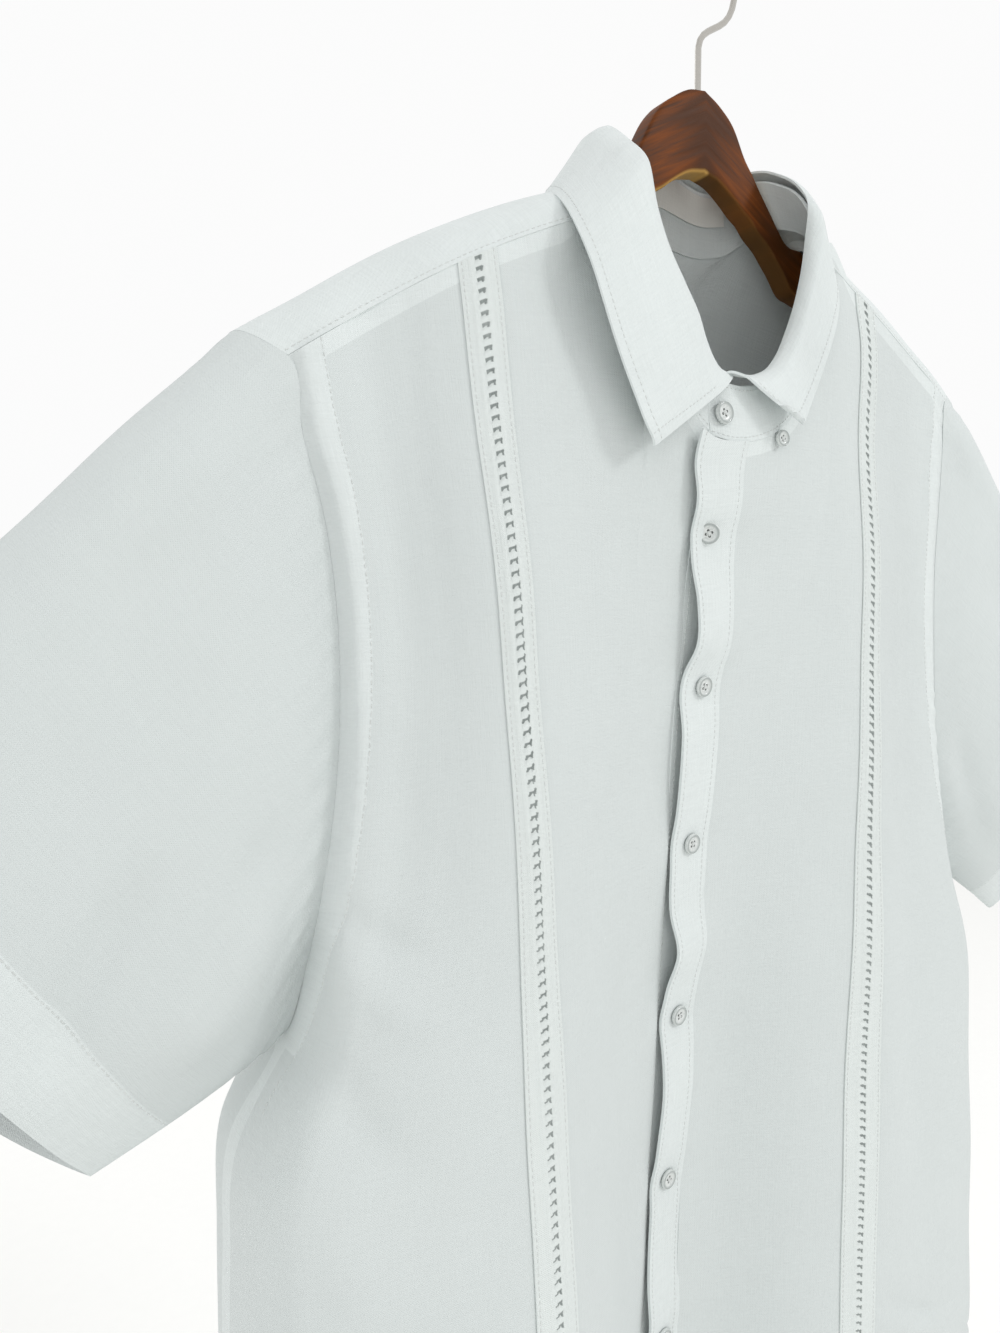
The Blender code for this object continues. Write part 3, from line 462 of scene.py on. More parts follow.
def yoke_grid():
    """Columns run from the front seam or the neck seam to the back seam."""
    rows = np.linspace(-1, 1, YOKE_ROWS)
    shoulders = {}
    for side in ("right", "left"):
        corner, foot = NECK_CORNER_X[side], YOKE_FOOT_X[side]
        ends = [yoke_end(side, s) for s in rows]
        run = []
        for share in np.linspace(1.0, 0.0, 8)[:-1]:
            near_neck = [corner + (foot - corner) * (s + 1) / 2 for s in rows]
            run.append([saddle(n + (e - n) * share, s) for n, e, s in zip(near_neck, ends, rows)])
        shoulders[side] = run
    neck = []
    for t in np.linspace(-1, 1, NECK_COLUMNS):
        x_top, s_top = neck_on_yoke(t)
        foot = YOKE_FOOT_X["right"] + (YOKE_FOOT_X["left"] - YOKE_FOOT_X["right"]) * (t + 1) / 2
        shares = np.linspace(0, 1, YOKE_ROWS)
        neck.append([saddle(x_top + (foot - x_top) * k, s_top + (1 - s_top) * k) for k in shares])
    return np.array(shoulders["right"] + neck + shoulders["left"][::-1])[::-1]


def armhole_line(side):
    """Closed armhole: from the shoulder end down the front and up the back."""
    edge = -1.0 if side == "right" else 1.0
    half = YOKE_ROWS // 2 + 1
    line = [saddle(yoke_end(side, s), s) for s in np.linspace(0, -1, half)]
    line += [panel_point(edge, z) for z in np.linspace(front_top(edge), ARMPIT_Z, ROWS_ABOVE)[1:]]
    rise = np.linspace(ARMPIT_Z, back_top(edge), ROWS_ABOVE)[1:]
    line += [panel_point(edge, z, back=True) for z in rise]
    line += [saddle(yoke_end(side, s), s) for s in np.linspace(1, 0, half)[1:-1]]
    return np.array(line)


def path_length(points):
    steps = np.linalg.norm(np.diff(points, axis=0), axis=1)
    return np.concatenate([[0], np.cumsum(steps)])


def sleeve_shares(root):
    low = YOKE_ROWS // 2 + ROWS_ABOVE - 1
    front = path_length(root[:low + 1])
    back = path_length(np.concatenate([root[low:], root[:1]]))
    return np.concatenate([front / front[-1], 1 - back[1:-1] / back[-1]]), low


def sleeve_hem_line(side, root):
    top = np.array(SLEEVE_TOP_END[side])
    across = np.array(SLEEVE_LOW_END[side]) - top
    down = np.array([across[2], 0, -across[0]]) / np.linalg.norm(across)
    if down[2] > 0:
        down = -down
    shares, bottom = sleeve_shares(root)
    line = []
    for k, share in enumerate(shares):
        swell = math.sin(math.pi * share)**0.8
        point = top + across * share
        if k <= bottom:
            point = point + np.array([0, -SLEEVE_FRONT_SWELL * swell, 0])
        else:
            point = point + np.array([0, SLEEVE_BACK_SWELL * swell, 0])
            point = point + down * SLEEVE_BACK_DROP * swell
        line.append(point)
    return np.array(line)


def sleeve_grid(side, rings=8):
    root = armhole_line(side)
    hem = sleeve_hem_line(side, root)
    grid = []
    for share in np.linspace(0, 1, rings):
        ring = root * (1 - share) + hem * share
        outward = np.clip(ring[:, 1] / SLEEVE_SWELL_DEPTH, -1, 1)
        ring[:, 1] += SLEEVE_SWELL * math.sin(math.pi * share) * outward
        grid.append(ring)
    grid = np.array(grid).transpose(1, 0, 2)
    return grid[::-1] if side == "left" else grid


# ---------------------------------------------------------------- collar
def collar_lines():
    """Neck seam, fold and outer edge, point for point."""
    fronts = {}
    for side in ("right", "left"):
        shares = [0.0] + neck_shares(side, PLACKET_SHARE)
        fronts[side] = [panel_point(u, front_top(u)) for u in shares]
    back = [saddle(*neck_on_yoke(t)) for t in np.linspace(-1, 1, NECK_COLUMNS)[1:-1]]
    seam = np.array(fronts["right"] + back + fronts["left"][::-1])
    way = path_length(seam)
    way = way / way[-1]
    table = np.array(COLLAR_ROWS)
    reach = spline(table[:, 0], table[:, 1:] * CM, way)
    fold = seam + reach[:, :3]
    edge = fold + reach[:, 3:]
    for k, share in enumerate(way):
        forward = STAND_LAP * smooth_step(0.86, 0.97, share)
        for line in (seam, fold, edge):
            line[k, 1] -= forward
    return seam, fold, edge


def stand_rows(seam, fold, shares):
    lap = PLACKET_WIDTH / 2
    under = np.array([lap, 0.001, 0.002])
    over = np.array([-lap, 0.001, 0.002])
    foot = np.concatenate([[seam[0] + under], seam, [seam[-1] + over]])
    top = np.concatenate([[fold[0] + under], fold, [fold[-1] + over]])
    unit = (top - foot) / np.linalg.norm(top - foot, axis=1, keepdims=True)
    foot = foot + unit * STAND_FOOT_GAP
    top = top - unit * 0.0015
    return np.array([foot + (top - foot) * share for share in shares]).transpose(1, 0, 2)


def leaf_rows(seam, fold, edge, shares):
    unit = (fold - seam) / np.linalg.norm(fold - seam, axis=1, keepdims=True)
    flat = np.array([fold + (edge - fold) * share for share in shares]).transpose(1, 0, 2)[::-1]
    over = LEAF_RISE * (1 - shares)**3
    off = LEAF_OFF * np.minimum(shares / 0.2, 1.0)**0.5
    return flat + unit[::-1, None] * over[None, :, None] + grid_normals(flat) * off[None, :, None]


# ---------------------------------------------------------------- fine cloth
def grid_normals(grid, closed=False):
    if closed:
        wrapped = np.concatenate([grid[-1:], grid, grid[:1]], axis=0)
        along = wrapped[2:] - wrapped[:-2]
    else:
        along = np.gradient(grid, axis=0)
    normals = np.cross(np.gradient(grid, axis=1), along)
    return normals / np.maximum(np.linalg.norm(normals, axis=2, keepdims=True), 1e-12)


def refine(grid, side=FINE, closed=False):
    """The same sheet in fine cells, smooth through every given point."""
    if closed:
        reach = 3
        grid = np.concatenate([grid[-reach:], grid, grid[:reach + 1]])
    for axis in (0, 1):
        rows = np.moveaxis(grid, axis, 0)
        spans = np.linalg.norm(np.diff(rows, axis=0), axis=2).mean(axis=1)
        way = np.concatenate([[0], np.cumsum(spans)])
        low, high = way[0], way[-1]
        if closed and axis == 0:
            low, high = way[reach], way[-reach - 1]
        count = max(int(round((high - low) / side)), 3)
        at = np.linspace(low, high, count + 1)
        if closed and axis == 0:
            at = at[:-1]
        grid = np.moveaxis(spline(way, rows, at), 0, axis)
    return grid


def extend(grid, ends, reach):
    """The sheet run on past its named borders by reach, to lie under or over its neighbour."""
    pairs = {"l": (0, 0, 1), "r": (0, -1, -2), "u": (1, 0, 1), "d": (1, -1, -2)}
    for name in ends:
        axis, border, inner = pairs[name]
        rows = np.moveaxis(grid, axis, 0)
        step = rows[border] - rows[inner]
        step /= np.maximum(np.linalg.norm(step, axis=-1, keepdims=True), 1e-9)
        new = (rows[border] + step * reach)[None]
        rows = np.concatenate([new, rows] if border == 0 else [rows, new])
        grid = np.moveaxis(rows, 0, axis)
    return grid


def border_ways(grid):
    """Length along the cloth from each of the four borders to each point."""
    across = np.linalg.norm(np.diff(grid, axis=0), axis=2)
    across = np.concatenate([np.zeros((1, grid.shape[1])), np.cumsum(across, axis=0)])
    along = np.linalg.norm(np.diff(grid, axis=1), axis=2)
    along = np.concatenate([np.zeros((grid.shape[0], 1)), np.cumsum(along, axis=1)], axis=1)
    return {"l": across, "r": across[-1:] - across, "u": along, "d": along[:, -1:] - along}


def calm(ways, borders, reach=0.032):
    """0 on the named seams and 1 away from them, so that sewn neighbours keep meeting."""
    still = np.ones(ways["u"].shape)
    for name in borders:
        still = still * smooth_step(0.002, reach, ways[name])
    return still


def lay_folds(grid, rows, still, face=0, closed=False):
    """Moves the sheet along its normals by the listed soft ridges and troughs."""
    normals = grid_normals(grid, closed)
    x, z = grid[..., 0], grid[..., 2]
    height = np.zeros(x.shape)
    for x0, z0, x1, z1, bow, width, rise in np.array(rows) * CM:
        length = math.hypot(x1 - x0, z1 - z0)
        ax, az = (x1 - x0) / length, (z1 - z0) / length
        t = ((x - x0) * ax + (z - z0) * az) / length
        bent = bow * 4 * t * (1 - t)
        off = (x - x0) * az - (z - z0) * ax - bent
        ends = smooth_step(-0.15, 0.25, t) * (1 - smooth_step(0.70, 1.15, t))
        height += rise * ends * np.exp(-(off / width)**2)
    if face:
        height *= smooth_step(-0.1, 0.5, normals[..., 1] * face)
    return grid + normals * (height * still)[..., None]


def soft_sway(grid, name, still, closed=False):
    """Uneven low swells a hand's breadth apart, so that no panel is a clean surface."""
    height, seed = SWAYS[name]
    draw = np.random.default_rng(seed)
    sway = np.zeros(grid.shape[:2])
    for _ in range(9):
        turn = draw.uniform(0, math.pi)
        wave = draw.uniform(0.055, 0.16)
        phase = draw.uniform(0, 2 * math.pi)
        way = grid[..., 0] * math.cos(turn) + grid[..., 2] * math.sin(turn) * 0.55
        sway += np.sin(2 * math.pi * way / wave + phase) / 9
    return grid + grid_normals(grid, closed) * (sway * still * height * 2.2)[..., None]


def pucker(grid, way, along, height, step):
    """Small gathers that run into a seam: way is the distance from the seam."""
    ripple = np.sin(2 * math.pi * along / step + 1.7 * np.sin(along / step * 1.31))
    ripple = ripple * (0.6 + 0.4 * np.sin(along / step * 0.43 + 1.0))
    fade = np.exp(-(way / 0.018)**2) * smooth_step(0.0, 0.009, way)
    return grid + grid_normals(grid) * (ripple * fade * height)[..., None]


def make_mesh(name, points, faces, material, marks=None):
    mesh = bpy.data.meshes.new(name)
    mesh.from_pydata(np.asarray(points).tolist(), [], faces)
    mesh.polygons.foreach_set("use_smooth", [True] * len(mesh.polygons))
    for key, values in (marks or {}).items():
        layer = mesh.attributes.new(key, "FLOAT_VECTOR", "POINT")
        layer.data.foreach_set("vector", np.ascontiguousarray(values, float).ravel())
    mesh.materials.append(material)
    mesh.update()
    piece = bpy.data.objects.new(name, mesh)
    bpy.context.scene.collection.objects.link(piece)
    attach(piece, "root")
    return piece


def make_wall(name, grid, thickness, material, marks=None, closed=False, lift=0.0):
    """Cloth with two faces and turned edges; marks are vectors given for each point."""
    normals = grid_normals(grid, closed)
    outer = grid + normals * lift
    inner = outer - normals * thickness
    rows, cols = grid.shape[:2]
    shift = rows * cols
    out = np.arange(shift).reshape(rows, cols)
    inn = out + shift
    if closed:
        first, second = out, np.roll(out, -1, axis=0)
    else:
        first, second = out[:-1], out[1:]

    def quads(a, b, c, d):
        return np.stack([a.ravel(), b.ravel(), c.ravel(), d.ravel()], axis=1)

    faces = [quads(first[:, :-1], first[:, 1:], second[:, 1:], second[:, :-1]),
             quads(first[:, :-1], second[:, :-1], second[:, 1:], first[:, 1:]) + shift,
             quads(first[:, 0], second[:, 0], second[:, 0] + shift, first[:, 0] + shift),
             quads(first[:, -1], first[:, -1] + shift, second[:, -1] + shift, second[:, -1])]
    if not closed:
        faces += [quads(out[0, :-1], inn[0, :-1], inn[0, 1:], out[0, 1:]),
                  quads(out[-1, :-1], out[-1, 1:], inn[-1, 1:], inn[-1, :-1])]
    points = np.concatenate([outer.reshape(-1, 3), inner.reshape(-1, 3)])
    doubled = {key: np.concatenate([v.reshape(-1, 3)] * 2) for key, v in (marks or {}).items()}
    piece = make_mesh(name, points, np.concatenate(faces).tolist(), material, doubled)
    piece.data.set_sharp_from_angle(angle=math.radians(55))
    return piece


SEWN = {}                    # sheets kept for the stitching: outer points, ways from borders


def sew_later(name, grid, closed=False, lift=0.0):
    SEWN[name] = (grid + grid_normals(grid, closed) * lift, border_ways(grid))


def line_at(name, border, way, low=0.0, high=1.0):
    """The line on a kept sheet that runs at a set distance from one of its borders."""
    grid, ways = SEWN[name]
    if border in "lr":
        points, far = np.moveaxis(grid, 0, 1), np.moveaxis(ways[border], 0, 1)
    else:
        points, far = grid, ways[border]
    if border in "rd":
        points, far = points[:, ::-1], far[:, ::-1]
    first, last = int(low * len(points)), int(math.ceil(high * len(points)))
    line = []
    for row, reach in zip(points[first:last], far[first:last]):
        line.append([np.interp(way, reach, row[:, k]) for k in range(3)])
    return np.array(line)


def cloth_marks(grid, layers):
    """cut holds the place on the flat cloth and how far inside doubled cloth it lies; on the lace
    it marks the openings instead, which get a painted shade.
    """
    ways = border_ways(grid)
    middle = ways["l"][:, ways["l"].shape[1] // 2][:, None] * np.ones(grid.shape[:2])
    return {"cut": np.stack([middle, ways["d"], layers * np.ones(grid.shape[:2])], axis=2)}


# ---------------------------------------------------------------- colours and nodes
def linear(hex_code):
    """sRGB hex to the linear values that the renderer works in."""
    values = [int(hex_code[k:k + 2], 16) / 255 for k in (1, 3, 5)]
    return tuple(v / 12.92 if v <= 0.04045 else ((v + 0.055) / 1.055)**2.4 for v in values)


def node(tree, kind, sockets=None, **settings):
    """Adds a node, sets what it is given and links what comes from another node."""
    new = tree.nodes.new("ShaderNode" + kind)
    for key, value in settings.items():
        setattr(new, key, value)
    for key, value in (sockets or {}).items():
        if isinstance(value, bpy.types.NodeSocket):
            tree.links.new(value, new.inputs[key])
        else:
            new.inputs[key].default_value = value
    return new


def blank_material(name, **constants):
    """A material with its shader, whose even values sit on the shader's own sockets."""
    material = bpy.data.materials.new(name)
    material.use_nodes = True
    tree = material.node_tree
    shader = tree.nodes["Principled BSDF"]
    for key, value in constants.items():
        shader.inputs[key.replace("_", " ")].default_value = value
    return material, tree, shader


def cotton_linen(name, open_colour, doubled_and_shade_colour, weave_depth):
    """Woven cotton and linen: fine plain weave with slubs, matte, whiter where it is doubled; on
    the lace the second colour is a painted shade in the openings.

    Real threads lie 0.35 mm apart, too fine to show, so they are drawn 1.0 mm apart.
    """
    material, tree, shader = blank_material(
        name, Roughness=0.86, Sheen_Weight=0.18, Sheen_Roughness=0.45, Specular_IOR_Level=0.25)
    cut = node(tree, "Attribute", attribute_name="cut").outputs["Vector"]
    split = node(tree, "SeparateXYZ", {0: cut})
    turns = 2 * math.pi / (1.0 * MM)
    threads = []
    for k in (0, 1):
        way = node(tree, "Math", {0: split.outputs[k], 1: turns}, operation="MULTIPLY")
        threads.append(node(tree, "Math", {0: way.outputs[0]}, operation="SINE").outputs[0])
    weave = node(tree, "Math", {0: threads[0], 1: threads[1]}, operation="MULTIPLY")
    slubs = []
    for long_way in ((900.0, 45.0, 0.0), (45.0, 900.0, 0.0)):
        place = node(tree, "Mapping", {"Vector": cut, "Scale": long_way})
        slubs.append(node(tree, "TexNoise", {"Vector": place.outputs[0], "Scale": 1.0,
                                             "Detail": 2.0, "Roughness": 0.6}).outputs["Fac"])
    slub = node(tree, "Math", {0: slubs[0], 1: slubs[1]}, operation="ADD")
    cloud = node(tree, "TexNoise", {"Vector": cut, "Scale": 22.0, "Detail": 3.0})
    # The third value of cut picks the second colour: doubled cloth, and on the lace the painted
    # shade of the openings.
    inside = node(tree, "MapRange", {0: split.outputs[2], 1: -0.0003, 2: 0.0003, 3: 0.0, 4: 1.0})
    base = node(tree, "MixRGB", {0: inside.outputs[0], 1: (*open_colour, 1),
                                 2: (*doubled_and_shade_colour, 1)})
    dark = tuple(0.90 * c for c in open_colour)
    fleck = node(tree, "MapRange", {0: slub.outputs[0], 1: 0.75, 2: 1.30, 3: 0.0, 4: 0.26})
    drawn = node(tree, "MixRGB", {0: fleck.outputs[0], 1: base.outputs[0], 2: (*dark, 1)})
    patch = node(tree, "MapRange", {0: cloud.outputs["Fac"], 1: 0.35, 2: 0.70, 3: 0.0, 4: 0.16})
    tone = node(tree, "MixRGB", {0: patch.outputs[0], 1: drawn.outputs[0], 2: (*dark, 1)})
    tree.links.new(tone.outputs[0], shader.inputs["Base Color"])
    fine = node(tree, "Bump", {"Height": weave.outputs[0], "Distance": 0.00012,
                               "Strength": weave_depth})
    ribs = node(tree, "Bump", {"Height": slub.outputs[0], "Distance": 0.00035,
                               "Strength": weave_depth, "Normal": fine.outputs[0]})
    creased = node(tree, "TexNoise", {"Vector": cut, "Scale": 34.0, "Detail": 4.0,
                                      "Distortion": 0.6})
    worn = node(tree, "Bump", {"Height": creased.outputs["Fac"], "Distance": 0.0016,
                               "Strength": 0.22, "Normal": ribs.outputs[0]})
    tree.links.new(worn.outputs[0], shader.inputs["Normal"])
    return material


def pearl_resin(colour, ring_colour):
    """Polyester resin cast to look like shell: glossy, cloudy, with a greyer ring, and eyes painted
    near black as shade.
    """
    material, tree, shader = blank_material(
        "pearl_polyester_resin", Roughness=0.22, Coat_Weight=0.5, Coat_Roughness=0.08)
    cut = node(tree, "Attribute", attribute_name="cut").outputs["Vector"]
    split = node(tree, "SeparateXYZ", {0: cut})
    flat = node(tree, "CombineXYZ", {0: split.outputs[0], 1: split.outputs[1], 2: 0.0})
    reach = node(tree, "VectorMath", {0: flat.outputs[0]}, operation="LENGTH")
    ring = node(tree, "MapRange", {0: reach.outputs["Value"], 1: 0.62, 2: 0.80, 3: 0.0, 4: 1.0})
    rim = node(tree, "MapRange", {0: reach.outputs["Value"], 1: 0.88, 2: 0.97, 3: 1.0, 4: 0.1})
    grey = node(tree, "Math", {0: ring.outputs[0], 1: rim.outputs[0]}, operation="MULTIPLY")
    swirl = node(tree, "TexNoise", {"Vector": cut, "Scale": 2.4, "Detail": 3.0,
                                    "Distortion": 1.4})
    cloud = node(tree, "MapRange", {0: swirl.outputs["Fac"], 1: 0.35, 2: 0.7, 3: 0.0, 4: 0.5})
    dull = node(tree, "Math", {0: grey.outputs[0], 1: cloud.outputs[0]}, operation="MAXIMUM")
    body = node(tree, "MixRGB", {0: dull.outputs[0], 1: (*colour, 1), 2: (*ring_colour, 1)})
    corner = node(tree, "VectorMath", {0: flat.outputs[0]}, operation="ABSOLUTE")
    eye = node(tree, "VectorMath", {0: corner.outputs[0], 1: (BUTTON_EYE, BUTTON_EYE, 0.0)},
               operation="DISTANCE")
    # Painted shade: the four eyes are painted near black in place of the shade inside the holes.
    hole = node(tree, "MapRange", {0: eye.outputs["Value"], 1: 0.08, 2: 0.13, 3: 1.0, 4: 0.0})
    dark = tuple(0.12 * c for c in ring_colour)
    tone = node(tree, "MixRGB", {0: hole.outputs[0], 1: body.outputs[0], 2: (*dark, 1)})
    tree.links.new(tone.outputs[0], shader.inputs["Base Color"])
    sunk = node(tree, "Bump", {"Height": hole.outputs[0], "Distance": 0.0006}, invert=True)
    tree.links.new(sunk.outputs[0], shader.inputs["Normal"])
    return material


def varnished_beech(colour, deep_colour, highlight_colour):
    """Beech, sanded, stained dark and varnished: satin, with long grain and a painted highlight in
    pale wood colour along some arrises.

    Grain lines lie about 1.2 mm apart and run along the arms.
    """
    material, tree, shader = blank_material(
        "stained_varnished_beech", Roughness=0.5, Specular_IOR_Level=0.12)
    cut = node(tree, "Attribute", attribute_name="cut").outputs["Vector"]
    split = node(tree, "SeparateXYZ", {0: cut})
    long_way = node(tree, "Mapping", {"Vector": cut, "Scale": (14.0, 260.0, 0.0)})
    grain = node(tree, "TexNoise", {"Vector": long_way.outputs[0], "Scale": 1.0, "Detail": 5.0,
                                    "Roughness": 0.65, "Distortion": 0.5})
    rings = node(tree, "Mapping", {"Vector": cut, "Scale": (3.0, 34.0, 0.0)})
    growth = node(tree, "TexWave", {"Vector": rings.outputs[0], "Scale": 1.6, "Distortion": 5.0,
                                    "Detail": 3.0, "Detail Scale": 1.4})
    fine = node(tree, "MapRange", {0: grain.outputs["Fac"], 1: 0.35, 2: 0.68, 3: 0.0, 4: 1.0})
    both = node(tree, "Math", {0: fine.outputs[0], 1: growth.outputs["Fac"]}, operation="MULTIPLY")
    body = node(tree, "MixRGB", {0: both.outputs[0], 1: (*deep_colour, 1), 2: (*colour, 1)})
    # Painted highlight: the pale wood colour is mixed in where the mesh marks lit arrises.
    worn = node(tree, "MixRGB", {0: split.outputs[2], 1: body.outputs[0], 2: (*highlight_colour, 1)})
    tree.links.new(worn.outputs[0], shader.inputs["Base Color"])
    gloss = node(tree, "MapRange", {0: grain.outputs["Fac"], 1: 0.3, 2: 0.7, 3: 0.44, 4: 0.60})
    tree.links.new(gloss.outputs[0], shader.inputs["Roughness"])
    pores = node(tree, "Bump", {"Height": grain.outputs["Fac"], "Distance": 0.0004,
                                "Strength": 0.35})
    tree.links.new(pores.outputs[0], shader.inputs["Normal"])
    return material


def plated_steel(colour):
    """Nickel-plated steel wire, drawn and bent: bright, with faint marks along the wire."""
    material, tree, shader = blank_material("nickel_plated_steel", Metallic=1.0)
    shader.inputs["Base Color"].default_value = (*colour, 1)
    place = node(tree, "TexCoord").outputs["Object"]
    marks = node(tree, "TexNoise", {"Vector": place, "Scale": 420.0, "Detail": 3.0})
    rough = node(tree, "MapRange", {0: marks.outputs["Fac"], 1: 0.3, 2: 0.7, 3: 0.20, 4: 0.36})
    tree.links.new(rough.outputs[0], shader.inputs["Roughness"])
    drawn = node(tree, "Bump", {"Height": marks.outputs["Fac"], "Distance": 0.00005,
                                "Strength": 0.4})
    tree.links.new(drawn.outputs[0], shader.inputs["Normal"])
    return material


def sewing_thread(colour):
    """Spun polyester sewing thread: soft sheen, two plies that show as a slanting ripple."""
    material, tree, shader = blank_material("spun_polyester_thread", Roughness=0.6,
                                            Sheen_Weight=0.2)
    place = node(tree, "TexCoord").outputs["Object"]
    plies = node(tree, "TexWave", {"Vector": place, "Scale": 900.0}, bands_direction="DIAGONAL")
    tone = node(tree, "MixRGB", {0: plies.outputs["Fac"], 1: (*(0.86 * c for c in colour), 1),
                                 2: (*colour, 1)})
    tree.links.new(tone.outputs[0], shader.inputs["Base Color"])
    ply = node(tree, "Bump", {"Height": plies.outputs["Fac"], "Distance": 0.0001})
    tree.links.new(ply.outputs[0], shader.inputs["Normal"])
    return material


def painted_floor(colour):
    """Matt paint on a studio floor: pale and even, with a faint roller texture."""
    material, tree, shader = blank_material("matt_floor_paint", Roughness=0.95)
    place = node(tree, "TexCoord").outputs["Object"]
    roller = node(tree, "TexNoise", {"Vector": place, "Scale": 60.0, "Detail": 3.0})
    tone = node(tree, "MixRGB", {0: roller.outputs["Fac"], 1: (*(0.98 * c for c in colour), 1),
                                 2: (*colour, 1)})
    tree.links.new(tone.outputs[0], shader.inputs["Base Color"])
    return material


MATERIALS = {}


def finish(name):
    """The named material, made on first use from the panel's colours."""
    if name in MATERIALS:
        return MATERIALS[name]
    colours = bpy.context.scene.shirt_colours
    makers = {
        "cloth": lambda: cotton_linen("bleached_cotton_linen", colours.cloth,
                                      colours.doubled_cloth, 0.55),
        "lace": lambda: cotton_linen("cotton_needle_lace", colours.lace,
                                     colours.lace_shade, 0.9),
        "taffeta": lambda: cotton_linen("label_taffeta", colours.label, colours.label, 0.25),
        "pearl": lambda: pearl_resin(colours.pearl, colours.pearl_ring),
        "wood": lambda: varnished_beech(colours.wood, colours.wood_deep, colours.wood_highlight),
        "steel": lambda: plated_steel(colours.steel),
        "thread": lambda: sewing_thread(colours.thread),
        "floor": lambda: painted_floor(colours.floor),
    }
    MATERIALS[name] = makers[name]()
    return MATERIALS[name]


# ---------------------------------------------------------------- settings
def colour(name, description, code):
    return bpy.props.FloatVectorProperty(name=name, description=description, subtype="COLOR",
                                         default=linear(code), min=0, max=1)


def distance(name, description, default, low, high):
    return bpy.props.FloatProperty(name=name, description=description, default=default,
                                   min=low, max=high, subtype="DISTANCE", unit="LENGTH")


class ShirtColours(bpy.types.PropertyGroup):
    """Colours of the shirt, its buttons and its hanger."""

    cloth: colour("Cloth", "One layer of bleached cloth", "#CFD5D4")
    doubled_cloth: colour("Doubled cloth", "Yoke, collar, plackets and hems", "#DBE1E0")
    lace: colour("Lace", "Dense needlework of the bands", "#DDE3E1")
    lace_shade: colour("Lace openings", "Shade inside the openings of the lace", "#747C7A")
    thread: colour("Thread", "Sewing thread", "#D9DDDB")
    label: colour("Label", "Plain woven label", "#E6E6E0")
    pearl: colour("Pearl", "Body of the buttons", "#D6DAD8")
    pearl_ring: colour("Pearl ring", "Greyer ring of the buttons", "#9BA2A0")
    wood: colour("Wood", "Stained and varnished wood", "#7C4114")
    wood_deep: colour("Wood grain", "Dark lines of the grain", "#45240A")
    # Pale wood colour of the painted highlight along the hanger's arrises.
    wood_highlight: colour("Worn wood", "Pale wood where the stain has worn", "#C49A55")
    steel: colour("Steel", "Plated wire of the hook", "#B9B6B0")
    floor: colour("Floor", "Pale studio floor", "#F4F4F2")


class ShirtSizes(bpy.types.PropertyGroup):
    """Sizes of the finish that a user may change."""

    button_width: distance("Front button", "Width of a front button", 0.0115, 0.008, 0.020)
    point_button_width: distance(
        "Collar button", "Width of a collar point's button", 0.009, 0.006, 0.015)
    lace_pitch: distance(
        "Lace pitch", "Distance from one opening of the lace to the next", 0.00525, 0.003, 0.012)
    hem: distance("Body hem", "Depth of the turned hem", 0.022, 0.01, 0.05)
    sleeve_hem: distance("Sleeve hem", "Depth of the turned hem of a sleeve", 0.036, 0.01, 0.05)
    hook_wire: distance("Hook wire", "Thickness of the hook's wire", 0.0036, 0.002, 0.006)


# ---------------------------------------------------------------- cloth pieces
def edge_wave(grid, ways):
    """The free edge of the left front moves sideways and outward between its buttons."""
    table = np.array(EDGE_WAVES)[::-1] * CM
    shift = spline(table[:, 0], table[:, 1:], grid[..., 2].ravel())
    shift = shift.reshape(grid.shape[:2] + (2,))
    near = [np.abs(grid[..., 2] - z * CM) for z, _ in BUTTON_ROWS]
    held = np.exp(-(np.min(near, axis=0) / 0.011)**2)
    fade = 1 - smooth_step(0.0, 0.065, ways)
    side = shift[..., 0] * fade
    out = shift[..., 1] * fade * (1 - 0.75 * held)
    return grid + np.stack([side, -out, np.zeros(side.shape)], axis=2)


def front_sheet(side):
    """Fine front from the placket's edge to the armhole and side seam."""
    left = side == "left"
    grid = refine(front_grid(front_shares(side), left))
    ways = border_ways(grid)
    arm = ways["r" if left else "l"]
    still = calm(ways, "ur" if left else "ul")
    grid = lay_folds(grid, FRONT_FOLDS, still)
    grid = soft_sway(grid, "front_" + side, still)
    above = smooth_step(ARMPIT_Z - 0.02, ARMPIT_Z + 0.03, grid[..., 2])
    grid = pucker(grid, arm, ways["u"], 0.00075 * above, 0.013)
    if left:
        grid = edge_wave(grid, ways["l"] + PLACKET_WIDTH)
    return grid


def body_layers(grid, arm, top, hem_depth):
    """How far inside doubled cloth: the allowances of armhole, side and yoke, and the hem."""
    ways = border_ways(grid)
    above = grid[..., 2] - ARMPIT_Z
    armhole = np.minimum(ARMHOLE_ALLOWANCE - arm, above + 0.006)
    return np.max([armhole, SIDE_ALLOWANCE - arm, YOKE_ALLOWANCE - top,
                   hem_depth - ways["d"]], axis=0)


def make_front(side):
    grid = front_sheet(side)
    ways = border_ways(grid)
    hem = bpy.context.scene.shirt_sizes.hem
    arm = ways["r" if side == "left" else "l"]
    layers = body_layers(grid, arm, ways["u"], hem)
    piece = make_wall("front_%s_cloth" % side, grid, SEEN_CLOTH, finish("cloth"),
                      cloth_marks(grid, layers))
    sew_later("front_" + side, grid)
    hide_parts("front_" + side)


def make_placket(side):
    left = side == "left"
    shares = np.linspace(-PLACKET_SHARE, PLACKET_SHARE, 5)
    grid = refine(front_grid(shares, left), TRIM_FINE)
    ways = border_ways(grid)
    if left:
        grid = edge_wave(grid, ways["l"])
    else:
        grid = soft_sway(grid, "placket_right", 1.0)
    lift = (DOUBLED - CLOTH if left else 0.0) + PLACKET_LIFT
    strip = extend(grid, "r" if left else "l", 0.0012)
    piece = make_wall("placket_%s_cloth" % side, strip, SEEN_DOUBLED, finish("cloth"),
                      cloth_marks(strip, 1.0), lift=lift)
    sew_later("placket_" + side, grid, lift=lift)
    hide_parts("placket_" + side)


